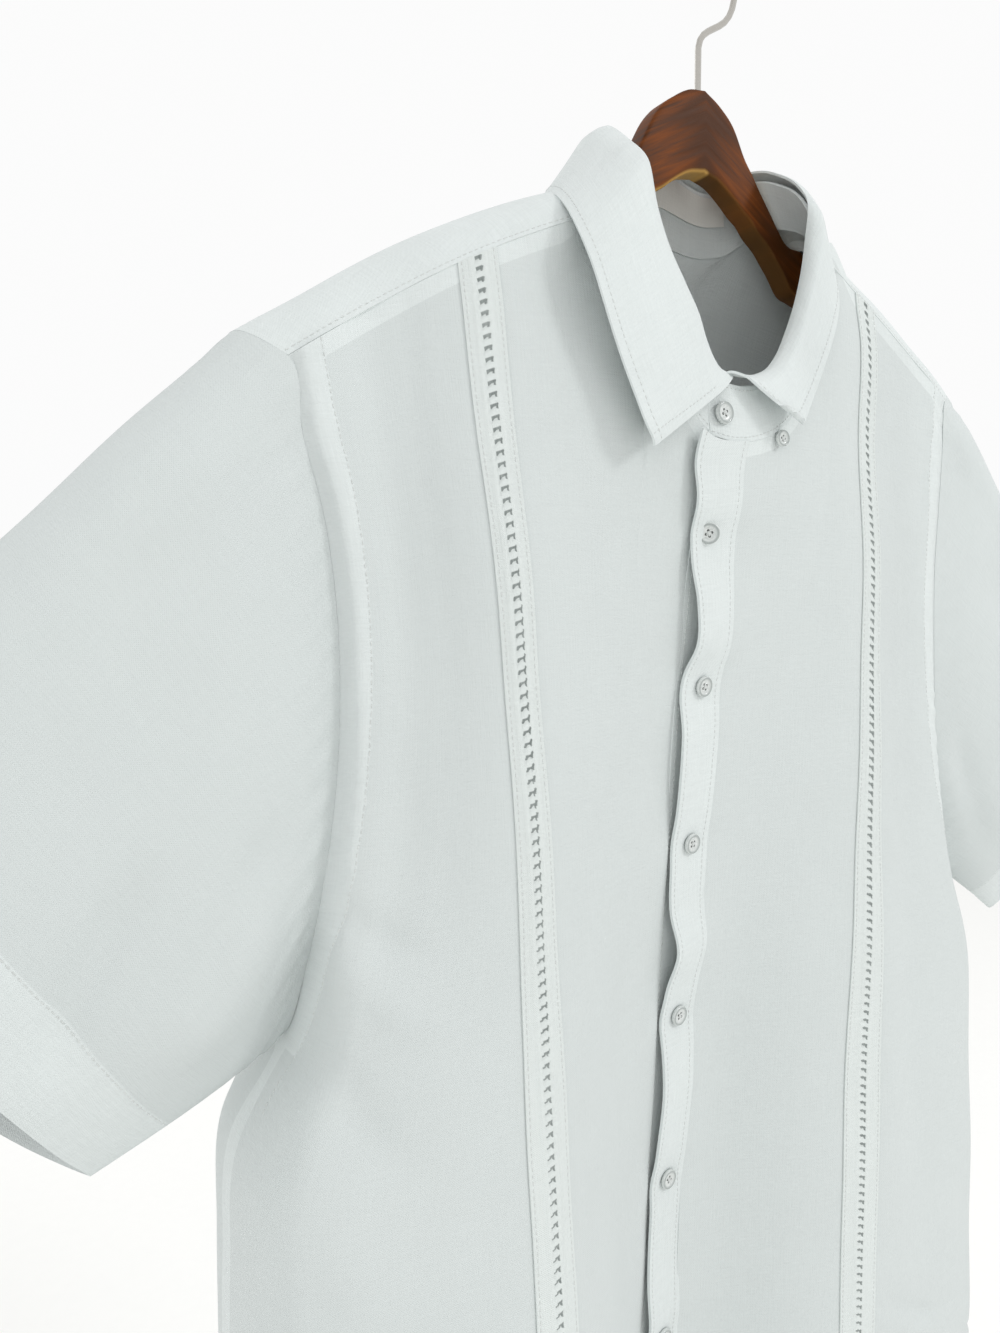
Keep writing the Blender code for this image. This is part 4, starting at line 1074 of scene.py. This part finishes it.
def lace_relief(grid, ways, pitch):
    """Raised bars between openings, and a picot cord on either side of them."""
    centre = (ways["l"] + ways["r"]) / 2
    off = ways["l"] - centre
    ladder = np.exp(-(off / 0.0030)**4)
    bars = 0.5 + 0.5 * np.cos(2 * math.pi * ways["u"] / pitch)
    cords = np.exp(-((np.abs(off) - 0.0036) / 0.0009)**2)
    height = 0.00045 * cords + ladder * (0.00045 * bars - 0.00035 * (1 - bars))
    return grid + grid_normals(grid) * height[..., None]


def lace_openings(ways, pitch):
    """1 inside an opening: a small square notch beside its bar, hooked at the top."""
    off = ways["l"] - (ways["l"] + ways["r"]) / 2
    turn = (ways["u"] / pitch) % 1.0
    width = smooth_step(0.0026, 0.0020, np.abs(off))
    top = smooth_step(0.06, 0.14, turn) * (1 - smooth_step(0.36, 0.44, turn))
    leg = smooth_step(0.06, 0.14, turn) * (1 - smooth_step(0.72, 0.80, turn))
    legs = leg * smooth_step(0.0010, 0.0014, off) * width
    return np.clip(np.maximum(top * width, legs), 0, 1)


def make_lace_band(side):
    sign = -1 if side == "right" else 1
    pitch = bpy.context.scene.shirt_sizes.lace_pitch
    shares = np.array([(U_BAND + BAND_SHARE * k) * sign for k in (-1, 0, 1)])
    grid = refine(front_grid(sorted(shares), left=False), 0.004)
    still = calm(border_ways(grid), "u")
    grid = lay_folds(grid, FRONT_FOLDS, still)
    grid = soft_sway(grid, "front_" + side, still)
    grid = refine(grid, LACE_FINE)
    ways = border_ways(grid)
    # The openings are painted in the dark lace shade colour: painted shade of the cloth behind
    # them.
    marks = cloth_marks(grid, (lace_openings(ways, pitch) - 0.5) * 0.002)
    relief = lace_relief(grid, ways, pitch)
    piece = make_wall("lace_band_%s_cloth" % side, relief, SEEN_LACE, finish("lace"), marks,
                      lift=LACE_LIFT)
    sew_later("lace_band_" + side, relief, lift=LACE_LIFT)
    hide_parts("lace_band_" + side)


def make_back():
    grid = refine(back_grid())
    ways = border_ways(grid)
    still = calm(ways, "ulr")
    grid = lay_folds(grid, BACK_FOLDS, still)
    grid = soft_sway(grid, "back", still)
    above = smooth_step(ARMPIT_Z - 0.02, ARMPIT_Z + 0.03, grid[..., 2])
    for border in ("l", "r"):
        grid = pucker(grid, ways[border], ways["u"], 0.0008 * above, 0.014)
    arm = np.minimum(ways["l"], ways["r"])
    layers = body_layers(grid, arm, ways["u"], bpy.context.scene.shirt_sizes.hem)
    piece = make_wall("back_cloth", grid, SEEN_CLOTH, finish("cloth"), cloth_marks(grid, layers))
    sew_later("back", grid)
    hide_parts("back")


def make_yoke():
    grid = refine(yoke_grid(), YOKE_FINE)
    ways = border_ways(grid)
    grid = soft_sway(grid, "yoke", calm(ways, "udlr", 0.02))
    grid = pucker(grid, ways["d"], ways["l"], 0.0004, 0.016)
    grid = extend(grid, "d", 0.0020)
    piece = make_wall("yoke_cloth", grid, SEEN_YOKE, finish("cloth"), cloth_marks(grid, 1.0),
                      lift=YOKE_LIFT)
    sew_later("yoke", grid, lift=YOKE_LIFT)
    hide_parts("yoke")


def make_sleeve(side):
    grid = refine(sleeve_grid(side), SLEEVE_FINE, closed=True)
    ways = border_ways(grid)
    still = calm(ways, "u")
    grid = lay_folds(grid, FRONT_SLEEVE_FOLDS, still, -1, closed=True)
    grid = lay_folds(grid, BACK_SLEEVE_FOLDS, still, 1, closed=True)
    grid = soft_sway(grid, "sleeve_" + side, still, closed=True)
    around = np.concatenate([ways["l"], ways["l"][-1:] + FINE])[:-1]
    ripple = np.sin(2 * math.pi * around / 0.015 + 1.5 * np.sin(around / 0.023))
    fade = np.exp(-(ways["u"] / 0.020)**2) * smooth_step(0.0, 0.010, ways["u"]) * 0.0008
    grid = grid + grid_normals(grid, True) * (ripple * fade)[..., None]
    layers = bpy.context.scene.shirt_sizes.sleeve_hem - ways["d"]
    marks = cloth_marks(grid, layers)
    piece = make_wall("sleeve_%s_cloth" % side, grid, SEEN_CLOTH, finish("cloth"), marks,
                      closed=True, lift=SLEEVE_LIFT)
    sew_later("sleeve_" + side, grid, closed=True, lift=SLEEVE_LIFT)
    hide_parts("sleeve_" + side)


def make_collar():
    seam, fold, edge = collar_lines()
    stand = refine(stand_rows(seam, fold, np.linspace(-0.2, 1, 5)), STAND_FINE)
    piece = make_wall("collar_stand_cloth", stand, SEEN_DOUBLED, finish("cloth"),
                      cloth_marks(stand, 0.9))
    sew_later("collar_stand", stand)
    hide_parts("collar_stand")
    for _ in range(6):
        middle = edge[3:-3]
        edge[3:-3] = middle + (edge[2:-4] + edge[4:-2] - 2 * middle) / 4
    shares = np.concatenate([np.linspace(0, 0.25, 9), np.linspace(0.25, 1, 10)[1:]])
    leaf = refine(leaf_rows(seam, fold, edge, shares), TRIM_FINE)
    leaf = soft_sway(leaf, "collar_leaf", 1.0)
    piece = make_wall("collar_leaf_cloth", leaf, SEEN_LEAF, finish("cloth"),
                      cloth_marks(leaf, 0.75), lift=LAYER_GAP)
    sew_later("collar_leaf", leaf, lift=LAYER_GAP)
    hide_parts("collar_leaf")


def make_label():
    seam, fold, _ = collar_lines()
    middle = len(seam) // 2
    rows = stand_rows(seam, fold, np.linspace(0.38, 0.92, 5))[1:-1]
    tag = refine(rows[middle - 2:middle + 3], LABEL_FINE)
    piece = make_wall("label_cloth", tag, SEEN_LABEL, finish("taffeta"), cloth_marks(tag, 1.0),
                      lift=-DOUBLED - LAYER_GAP)
    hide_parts("label")


# ---------------------------------------------------------------- buttons and stitching
def frame_of(facing):
    facing = facing / np.linalg.norm(facing)
    across = np.cross(facing, [0.0, 0.0, 1.0])
    across /= np.linalg.norm(across)
    return facing, across, np.cross(across, facing)


def make_button(node_name, width, centre, facing, turn):
    """Turned button: rounded rim, dished middle with four eyes, and crossed thread."""
    radius = width / 2
    facing, across, up = frame_of(facing)
    spin, cospin = math.sin(turn), math.cos(turn)
    across, up = across * cospin + up * spin, up * cospin - across * spin
    profile = [(0.0, 0.0), (0.80, 0.0), (0.94, 0.16), (1.0, 0.45), (0.985, 0.72), (0.93, 0.93),
               (0.86, 1.0), (0.78, 0.97), (0.70, 0.84), (0.62, 0.74), (0.52, 0.70),
               (0.42, 0.69), (0.32, 0.69), (0.24, 0.69), (0.16, 0.69), (0.08, 0.69), (0.0, 0.69)]
    sides = BUTTON_SIDES
    points, marks, faces = [], [], []
    for reach, height in profile:
        for k in range(sides):
            angle = 2 * math.pi * k / sides
            flat = (reach * math.cos(angle), reach * math.sin(angle))
            offset = (across * flat[0] + up * flat[1]) * radius
            points.append(centre + offset + facing * height * BUTTON_WALL)
            marks.append((flat[0], flat[1], height))
    for low in range(len(profile) - 1):
        for k in range(sides):
            n = (k + 1) % sides
            faces.append((low * sides + k, low * sides + n,
                          (low + 1) * sides + n, (low + 1) * sides + k))
    piece = make_mesh(node_name + "_pearl", points, faces, finish("pearl"),
                      {"cut": np.array(marks)})
    weld(piece)
    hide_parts(node_name)
    thread = []
    eye = BUTTON_EYE
    for one, two in (((-eye, -eye), (eye, eye)), ((-eye, eye), (eye, -eye))):
        for shift in (-EYE_THREAD_SPREAD, EYE_THREAD_SPREAD):
            ends = [centre + (across * (p[0] + shift) + up * (p[1] - shift * p[0] / abs(p[0])))
                    * radius + facing * EYE_THREAD_HEIGHT for p in (one, two)]
            thread.append(ends)
    return thread


def weld(piece):
    """Joins the doubled points at the middle of a turned piece."""
    tool = piece.modifiers.new("weld", "WELD")
    tool.merge_threshold = 0.00001
    apply_modifiers(piece)


def apply_modifiers(piece):
    shaped = piece.evaluated_get(bpy.context.evaluated_depsgraph_get())
    mesh = bpy.data.meshes.new_from_object(shaped)
    piece.modifiers.clear()
    old = piece.data
    piece.data = mesh
    bpy.data.meshes.remove(old)
    mesh.name = piece.name


def stitch_points(start, end, reach):
    """Eight-cornered stitch that is thickest in the middle and dips at both ends."""
    way = end - start
    length = np.linalg.norm(way)
    way = way / length
    side = np.cross(way, [0.31, 0.57, 0.76])
    side /= np.linalg.norm(side)
    lift = np.cross(side, way)
    ring = [side, (side + lift) * 0.707, lift, (lift - side) * 0.707]
    ring = ring + [-r for r in ring]
    points = [start]
    for share in (0.2, 0.8):
        points += [start + way * length * share + r * reach for r in ring]
    return points + [end]


STITCH_FACES = ([(0, 1 + (k + 1) % 8, 1 + k) for k in range(8)]
                + [(1 + k, 1 + (k + 1) % 8, 9 + (k + 1) % 8) for k in range(8)]
                + [(1 + k, 9 + (k + 1) % 8, 9 + k) for k in range(8)]
                + [(17, 9 + k, 9 + (k + 1) % 8) for k in range(8)])


def make_thread(name, spans, reach):
    """One mesh of short stitches, each given by its two ends."""
    points, faces = [], []
    for start, end in spans:
        base = len(points)
        points += stitch_points(np.array(start), np.array(end), reach)
        faces += [tuple(base + k for k in face) for face in STITCH_FACES]
    return make_mesh(name, points, faces, finish("thread"))


def stitches_along(line):
    """Ends of the stitches of one sewn line."""
    way = path_length(line)
    count = int(way[-1] / STITCH_STEP)
    spans = []
    for k in range(count):
        ends = [k * way[-1] / count, k * way[-1] / count + STITCH]
        spans.append([np.array([np.interp(e, way, line[:, j]) for j in range(3)]) for e in ends])
    return spans


def make_buttons():
    sizes = bpy.context.scene.shirt_sizes
    threads = []
    for k, (z, across) in enumerate(np.array(BUTTON_ROWS) * CM):
        centre, normal = on_placket(z, across)
        turned = normal + np.array([TOP_BUTTON_LEAN, 0.0, 0.0]) * (k == 0)
        threads += make_button("button_front_%d" % (k + 1), sizes.button_width,
                               centre + normal * 0.0004, turned, 0.5 + 1.3 * k)
    seam, fold, edge = collar_lines()
    low = (seam[-1] + fold[-1]) / 2 + np.array([STAND_BUTTON_X, -LAYER_GAP, -0.002])
    threads += make_button("button_stand", sizes.button_width, low,
                           np.array([0.0, -1.0, 0.05]), 0.3)
    for side, k in (("right", 0), ("left", -1)):
        sign = -1 if side == "right" else 1
        x, z = edge[k][0] - sign * POINT_BUTTON_IN[side], edge[k][2] + POINT_BUTTON_IN[side]
        spot = np.array([x, section_line(x, z, False, "depth") - POINT_BUTTON_OFF, z])
        threads += make_button("button_point_" + side, sizes.point_button_width, spot,
                               np.array([0.0, -1.0, 0.0]), 0.9)
    piece = make_thread("button_threads", threads, EYE_THREAD_REACH)


def on_placket(z, across):
    """Point and normal of the left placket's face beside the line of the buttons."""
    grid, ways = SEWN["placket_left"]
    facing = grid_normals(grid)
    share = ways["l"][:, 0] / ways["l"][-1, 0]
    k = int(np.argmin(np.abs(share - 0.5 - across / PLACKET_WIDTH)))
    row, lean = grid[k], facing[k]
    down = -row[:, 2]
    point = np.array([np.interp(-z, down, row[:, i]) for i in range(3)])
    normal = np.array([np.interp(-z, down, lean[:, i]) for i in range(3)])
    return point, normal / np.linalg.norm(normal)


# Lines of stitches: the sheet, its border, the distance in from that border, and the part of
# the border's length that is sewn.
STITCH_LINES = {
    "front_right": [("d", 0.021, 0, 1), ("l", 0.0165, 0, 0.5)],
    "front_left": [("d", 0.021, 0, 1), ("r", 0.0165, 0, 0.5)],
    "placket_right": [("l", 0.0025, 0, 1)],
    "placket_left": [("l", 0.0030, 0, 1), ("r", 0.0025, 0, 1)],
    "lace_band_right": [("l", 0.0018, 0, 1), ("r", 0.0018, 0, 1)],
    "lace_band_left": [("l", 0.0018, 0, 1), ("r", 0.0018, 0, 1)],
    "back": [("d", 0.021, 0, 1), ("l", 0.0165, 0, 0.45), ("r", 0.0165, 0, 0.45)],
    "yoke": [("d", 0.0030, 0, 1), ("u", 0.0025, 0, 1)],
    "sleeve_right": [("d", 0.035, 0, 1)],
    "sleeve_left": [("d", 0.035, 0, 1)],
    "collar_stand": [("d", 0.0022, 0, 1), ("u", 0.0022, 0, 1)],
    "collar_leaf": [("d", 0.0055, 0, 1), ("l", 0.0055, 0.3, 1), ("r", 0.0055, 0.3, 1)],
}


def make_stitching():
    for sheet, rows in STITCH_LINES.items():
        spans = []
        for row in rows:
            spans += stitches_along(line_at(sheet, *row))
        name = "stitches_" + sheet.replace("lace_band", "lace")
        make_thread(name, spans, THREAD_REACH)


# ---------------------------------------------------------------- hanger
def arm_outline(x):
    """Top and bottom of the wood at x."""
    table = np.array(HANGER_ROWS) * CM
    reach = abs(x)
    top_right, top_left, low = spline(table[:, 0], table[:, 1:], np.array([reach]))[0]
    top = top_right if x < 0 else top_left
    if reach > HANGER_ROWS[-2][0] * CM:
        blend = smooth_step(HANGER_ROWS[-2][0] * CM, HANGER_ROWS[-1][0] * CM, reach)
        under_cloth = ridge_z(x) - HANGER_CLEARANCE
        top = top * (1 - blend) + under_cloth * blend
        low = top - (HANGER_ARM_HEIGHT + (HANGER_TIP_HEIGHT - HANGER_ARM_HEIGHT)
                     * (reach - 0.08) / (HANGER_HALF_WIDTH - 0.08)) * blend \
            - (top - low) * (1 - blend)
    return top, low


def squared(value):
    """The sine or cosine of a turn round a section, drawn out towards a square."""
    return math.copysign(abs(value)**WOOD_ROUNDING, value)


def make_hanger():
    """Sawn outline with rounded arrises; a painted highlight in pale wood colour lies along the
    lower arris, strong on the right arm and faint on the left, and along the top arris of the left
    arm.
    """
    closing = 1 - np.sin(np.linspace(0.2, 1, 6) * math.pi / 2)
    half = np.concatenate([np.linspace(0, 0.09, 46), np.linspace(0.09, 0.199, 28)[1:],
                           HANGER_HALF_WIDTH - WOOD_END * closing])
    stations = np.concatenate([-half[:0:-1], half])
    turns = np.linspace(0, 2 * math.pi, WOOD_SIDES, endpoint=False)
    points, marks = [], []
    for x in stations:
        top, low = arm_outline(x)
        past = max((abs(x) - (HANGER_HALF_WIDTH - WOOD_END)) / 0.0061, 0)
        close = math.sqrt(max(1 - past**2, 0.02))
        deep = HANGER_THICKNESS / 2 * (0.35 + 0.65 * close)
        tall = (top - low) / 2 * (0.5 + 0.5 * close)
        for turn in turns:
            z = (top + low) / 2 + tall * squared(math.sin(turn))
            points.append((x, deep * squared(math.cos(turn)), z))
            # Painted highlight: pale along the lower arris, strong on the right arm, and along the
            # top arris of the left arm.
            down = smooth_step(-0.55, -0.9, math.sin(turn)) * (0.9 if x < 0.004 else 0.12)
            up = smooth_step(0.75, 0.95, math.sin(turn)) * smooth_step(0.028, 0.045, x)
            marks.append((abs(x) * 1.15, z + 0.55 * abs(x), down + 0.55 * up))
    index = np.arange(len(points)).reshape(len(stations), WOOD_SIDES)
    around = np.roll(index, -1, axis=1)
    faces = np.stack([index[:-1].ravel(), index[1:].ravel(),
                      around[1:].ravel(), around[:-1].ravel()], axis=1).tolist()
    faces += [index[0].tolist(), index[-1][::-1].tolist()]
    piece = make_mesh("hanger_wood_varnished", points, faces, finish("wood"),
                      {"cut": np.array(marks)})
    piece.data.set_sharp_from_angle(angle=math.radians(50))
    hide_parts("hanger_wood")


def dress_hook():
    """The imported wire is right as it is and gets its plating."""
    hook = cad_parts["hanger_hook"]
    hook.data.materials.clear()
    hook.data.materials.append(finish("steel"))


# ---------------------------------------------------------------- stage
def make_stage():
    scene = bpy.context.scene
    corners = [(x * FLOOR_REACH, y * FLOOR_REACH, FLOOR_Z)
               for x, y in ((-1, -1), (1, -1), (1, 1), (-1, 1))]
    mesh = bpy.data.meshes.new("studio_floor")
    mesh.from_pydata(corners, [], [(0, 1, 2, 3)])
    mesh.materials.append(finish("floor"))
    floor = bpy.data.objects.new("studio_floor", mesh)
    scene.collection.objects.link(floor)
    world = bpy.data.worlds.new("studio_world")
    world.use_nodes = True
    sky = world.node_tree.nodes["Background"]
    sky.inputs["Color"].default_value = (1.0, 1.0, 1.0, 1.0)
    sky.inputs["Strength"].default_value = SKY_STRENGTH
    scene.world = world
    for name, place, size, power in (
            ("key_window", (1.5, -1.9, 1.0), 0.6, 17.0),
            ("fill_screen", (-2.6, -1.8, 0.3), 2.2, 9.0),
            ("back_screen", (0.6, 2.6, 0.6), 2.0, 8.0)):
        light = bpy.data.lights.new(name, "AREA")
        light.shape = "DISK"
        light.size = size
        light.energy = power
        lamp = bpy.data.objects.new(name, light)
        lamp.location = place
        aim(lamp, LAMP_TARGET)
        scene.collection.objects.link(lamp)
    view = bpy.data.cameras.new("studio_camera")
    view.lens = 26.0
    view.sensor_width = 36.0
    camera = bpy.data.objects.new("studio_camera", view)
    camera.location = (-0.388, -0.4136, -0.3678)
    camera.rotation_euler = (math.radians(86.0), 0.0, math.radians(-32.0))
    scene.collection.objects.link(camera)
    scene.camera = camera
    scene.view_settings.view_transform = "Standard"


def aim(lamp, target):
    way = [t - p for t, p in zip(target, lamp.location)]
    flat = math.hypot(way[0], way[1])
    lamp.rotation_euler = (math.atan2(flat, -way[2]), 0.0, math.atan2(way[1], way[0]) - math.pi / 2)


# ---------------------------------------------------------------- operators
class SHIRT_OT_fronts(bpy.types.Operator):
    """Make both fronts from the yoke seam to the hem"""

    bl_idname = "shirt.fronts"
    bl_label = "Fronts"

    def execute(self, context):
        make_front("right")
        make_front("left")
        return {"FINISHED"}


class SHIRT_OT_plackets(bpy.types.Operator):
    """Make the doubled strips that carry the buttons and buttonholes"""

    bl_idname = "shirt.plackets"
    bl_label = "Plackets"

    def execute(self, context):
        make_placket("right")
        make_placket("left")
        return {"FINISHED"}


class SHIRT_OT_lace(bpy.types.Operator):
    """Make the lace band down each front"""

    bl_idname = "shirt.lace"
    bl_label = "Lace bands"

    def execute(self, context):
        make_lace_band("right")
        make_lace_band("left")
        return {"FINISHED"}


class SHIRT_OT_back(bpy.types.Operator):
    """Make the back from the yoke seam to the hem"""

    bl_idname = "shirt.back"
    bl_label = "Back"

    def execute(self, context):
        make_back()
        return {"FINISHED"}


class SHIRT_OT_yoke(bpy.types.Operator):
    """Make the yoke over both shoulders"""

    bl_idname = "shirt.yoke"
    bl_label = "Yoke"

    def execute(self, context):
        make_yoke()
        return {"FINISHED"}


class SHIRT_OT_sleeves(bpy.types.Operator):
    """Make both short sleeves with their hems"""

    bl_idname = "shirt.sleeves"
    bl_label = "Sleeves"

    def execute(self, context):
        make_sleeve("right")
        make_sleeve("left")
        return {"FINISHED"}


class SHIRT_OT_collar(bpy.types.Operator):
    """Make the collar stand, the turned-down leaf and the plain label"""

    bl_idname = "shirt.collar"
    bl_label = "Collar and label"

    def execute(self, context):
        make_collar()
        make_label()
        return {"FINISHED"}


class SHIRT_OT_buttons(bpy.types.Operator):
    """Make the pearly buttons and their thread"""

    bl_idname = "shirt.buttons"
    bl_label = "Buttons"

    def execute(self, context):
        make_buttons()
        return {"FINISHED"}


class SHIRT_OT_stitching(bpy.types.Operator):
    """Sew the visible lines of stitches"""

    bl_idname = "shirt.stitching"
    bl_label = "Stitching"

    def execute(self, context):
        make_stitching()
        return {"FINISHED"}


class SHIRT_OT_hanger(bpy.types.Operator):
    """Make the varnished hanger and plate its hook"""

    bl_idname = "shirt.hanger"
    bl_label = "Hanger"

    def execute(self, context):
        make_hanger()
        dress_hook()
        return {"FINISHED"}


class SHIRT_OT_stage(bpy.types.Operator):
    """Set up the pale floor, the soft lights and the camera"""

    bl_idname = "shirt.stage"
    bl_label = "Stage"

    def execute(self, context):
        make_stage()
        return {"FINISHED"}


class SHIRT_PT_panel(bpy.types.Panel):
    """Sizes, colours and steps of the shirt"""

    bl_idname = "SHIRT_PT_panel"
    bl_label = "Shirt on a hanger"
    bl_space_type = "VIEW_3D"
    bl_region_type = "UI"
    bl_category = "Shirt"

    def draw(self, context):
        for group in (context.scene.shirt_sizes, context.scene.shirt_colours):
            column = self.layout.column(align=True)
            for key in group.bl_rna.properties.keys():
                if key not in ("rna_type", "name"):
                    column.prop(group, key)
        for step in STEPS:
            self.layout.operator(step.bl_idname)


STEPS = (SHIRT_OT_fronts, SHIRT_OT_plackets, SHIRT_OT_lace, SHIRT_OT_back, SHIRT_OT_yoke,
         SHIRT_OT_sleeves, SHIRT_OT_collar, SHIRT_OT_buttons, SHIRT_OT_stitching,
         SHIRT_OT_hanger, SHIRT_OT_stage)
CLASSES = (ShirtColours, ShirtSizes, *STEPS, SHIRT_PT_panel)


def register():
    for item in CLASSES:
        bpy.utils.register_class(item)
    bpy.types.Scene.shirt_colours = bpy.props.PointerProperty(type=ShirtColours)
    bpy.types.Scene.shirt_sizes = bpy.props.PointerProperty(type=ShirtSizes)


def unregister():
    del bpy.types.Scene.shirt_sizes
    del bpy.types.Scene.shirt_colours
    for item in reversed(CLASSES):
        bpy.utils.unregister_class(item)


def main():
    register()
    bpy.ops.shirt.fronts()
    bpy.ops.shirt.plackets()
    bpy.ops.shirt.lace()
    bpy.ops.shirt.back()
    bpy.ops.shirt.yoke()
    bpy.ops.shirt.sleeves()
    bpy.ops.shirt.collar()
    bpy.ops.shirt.buttons()
    bpy.ops.shirt.stitching()
    bpy.ops.shirt.hanger()
    bpy.ops.shirt.stage()


if __name__ == "__main__":
    main()
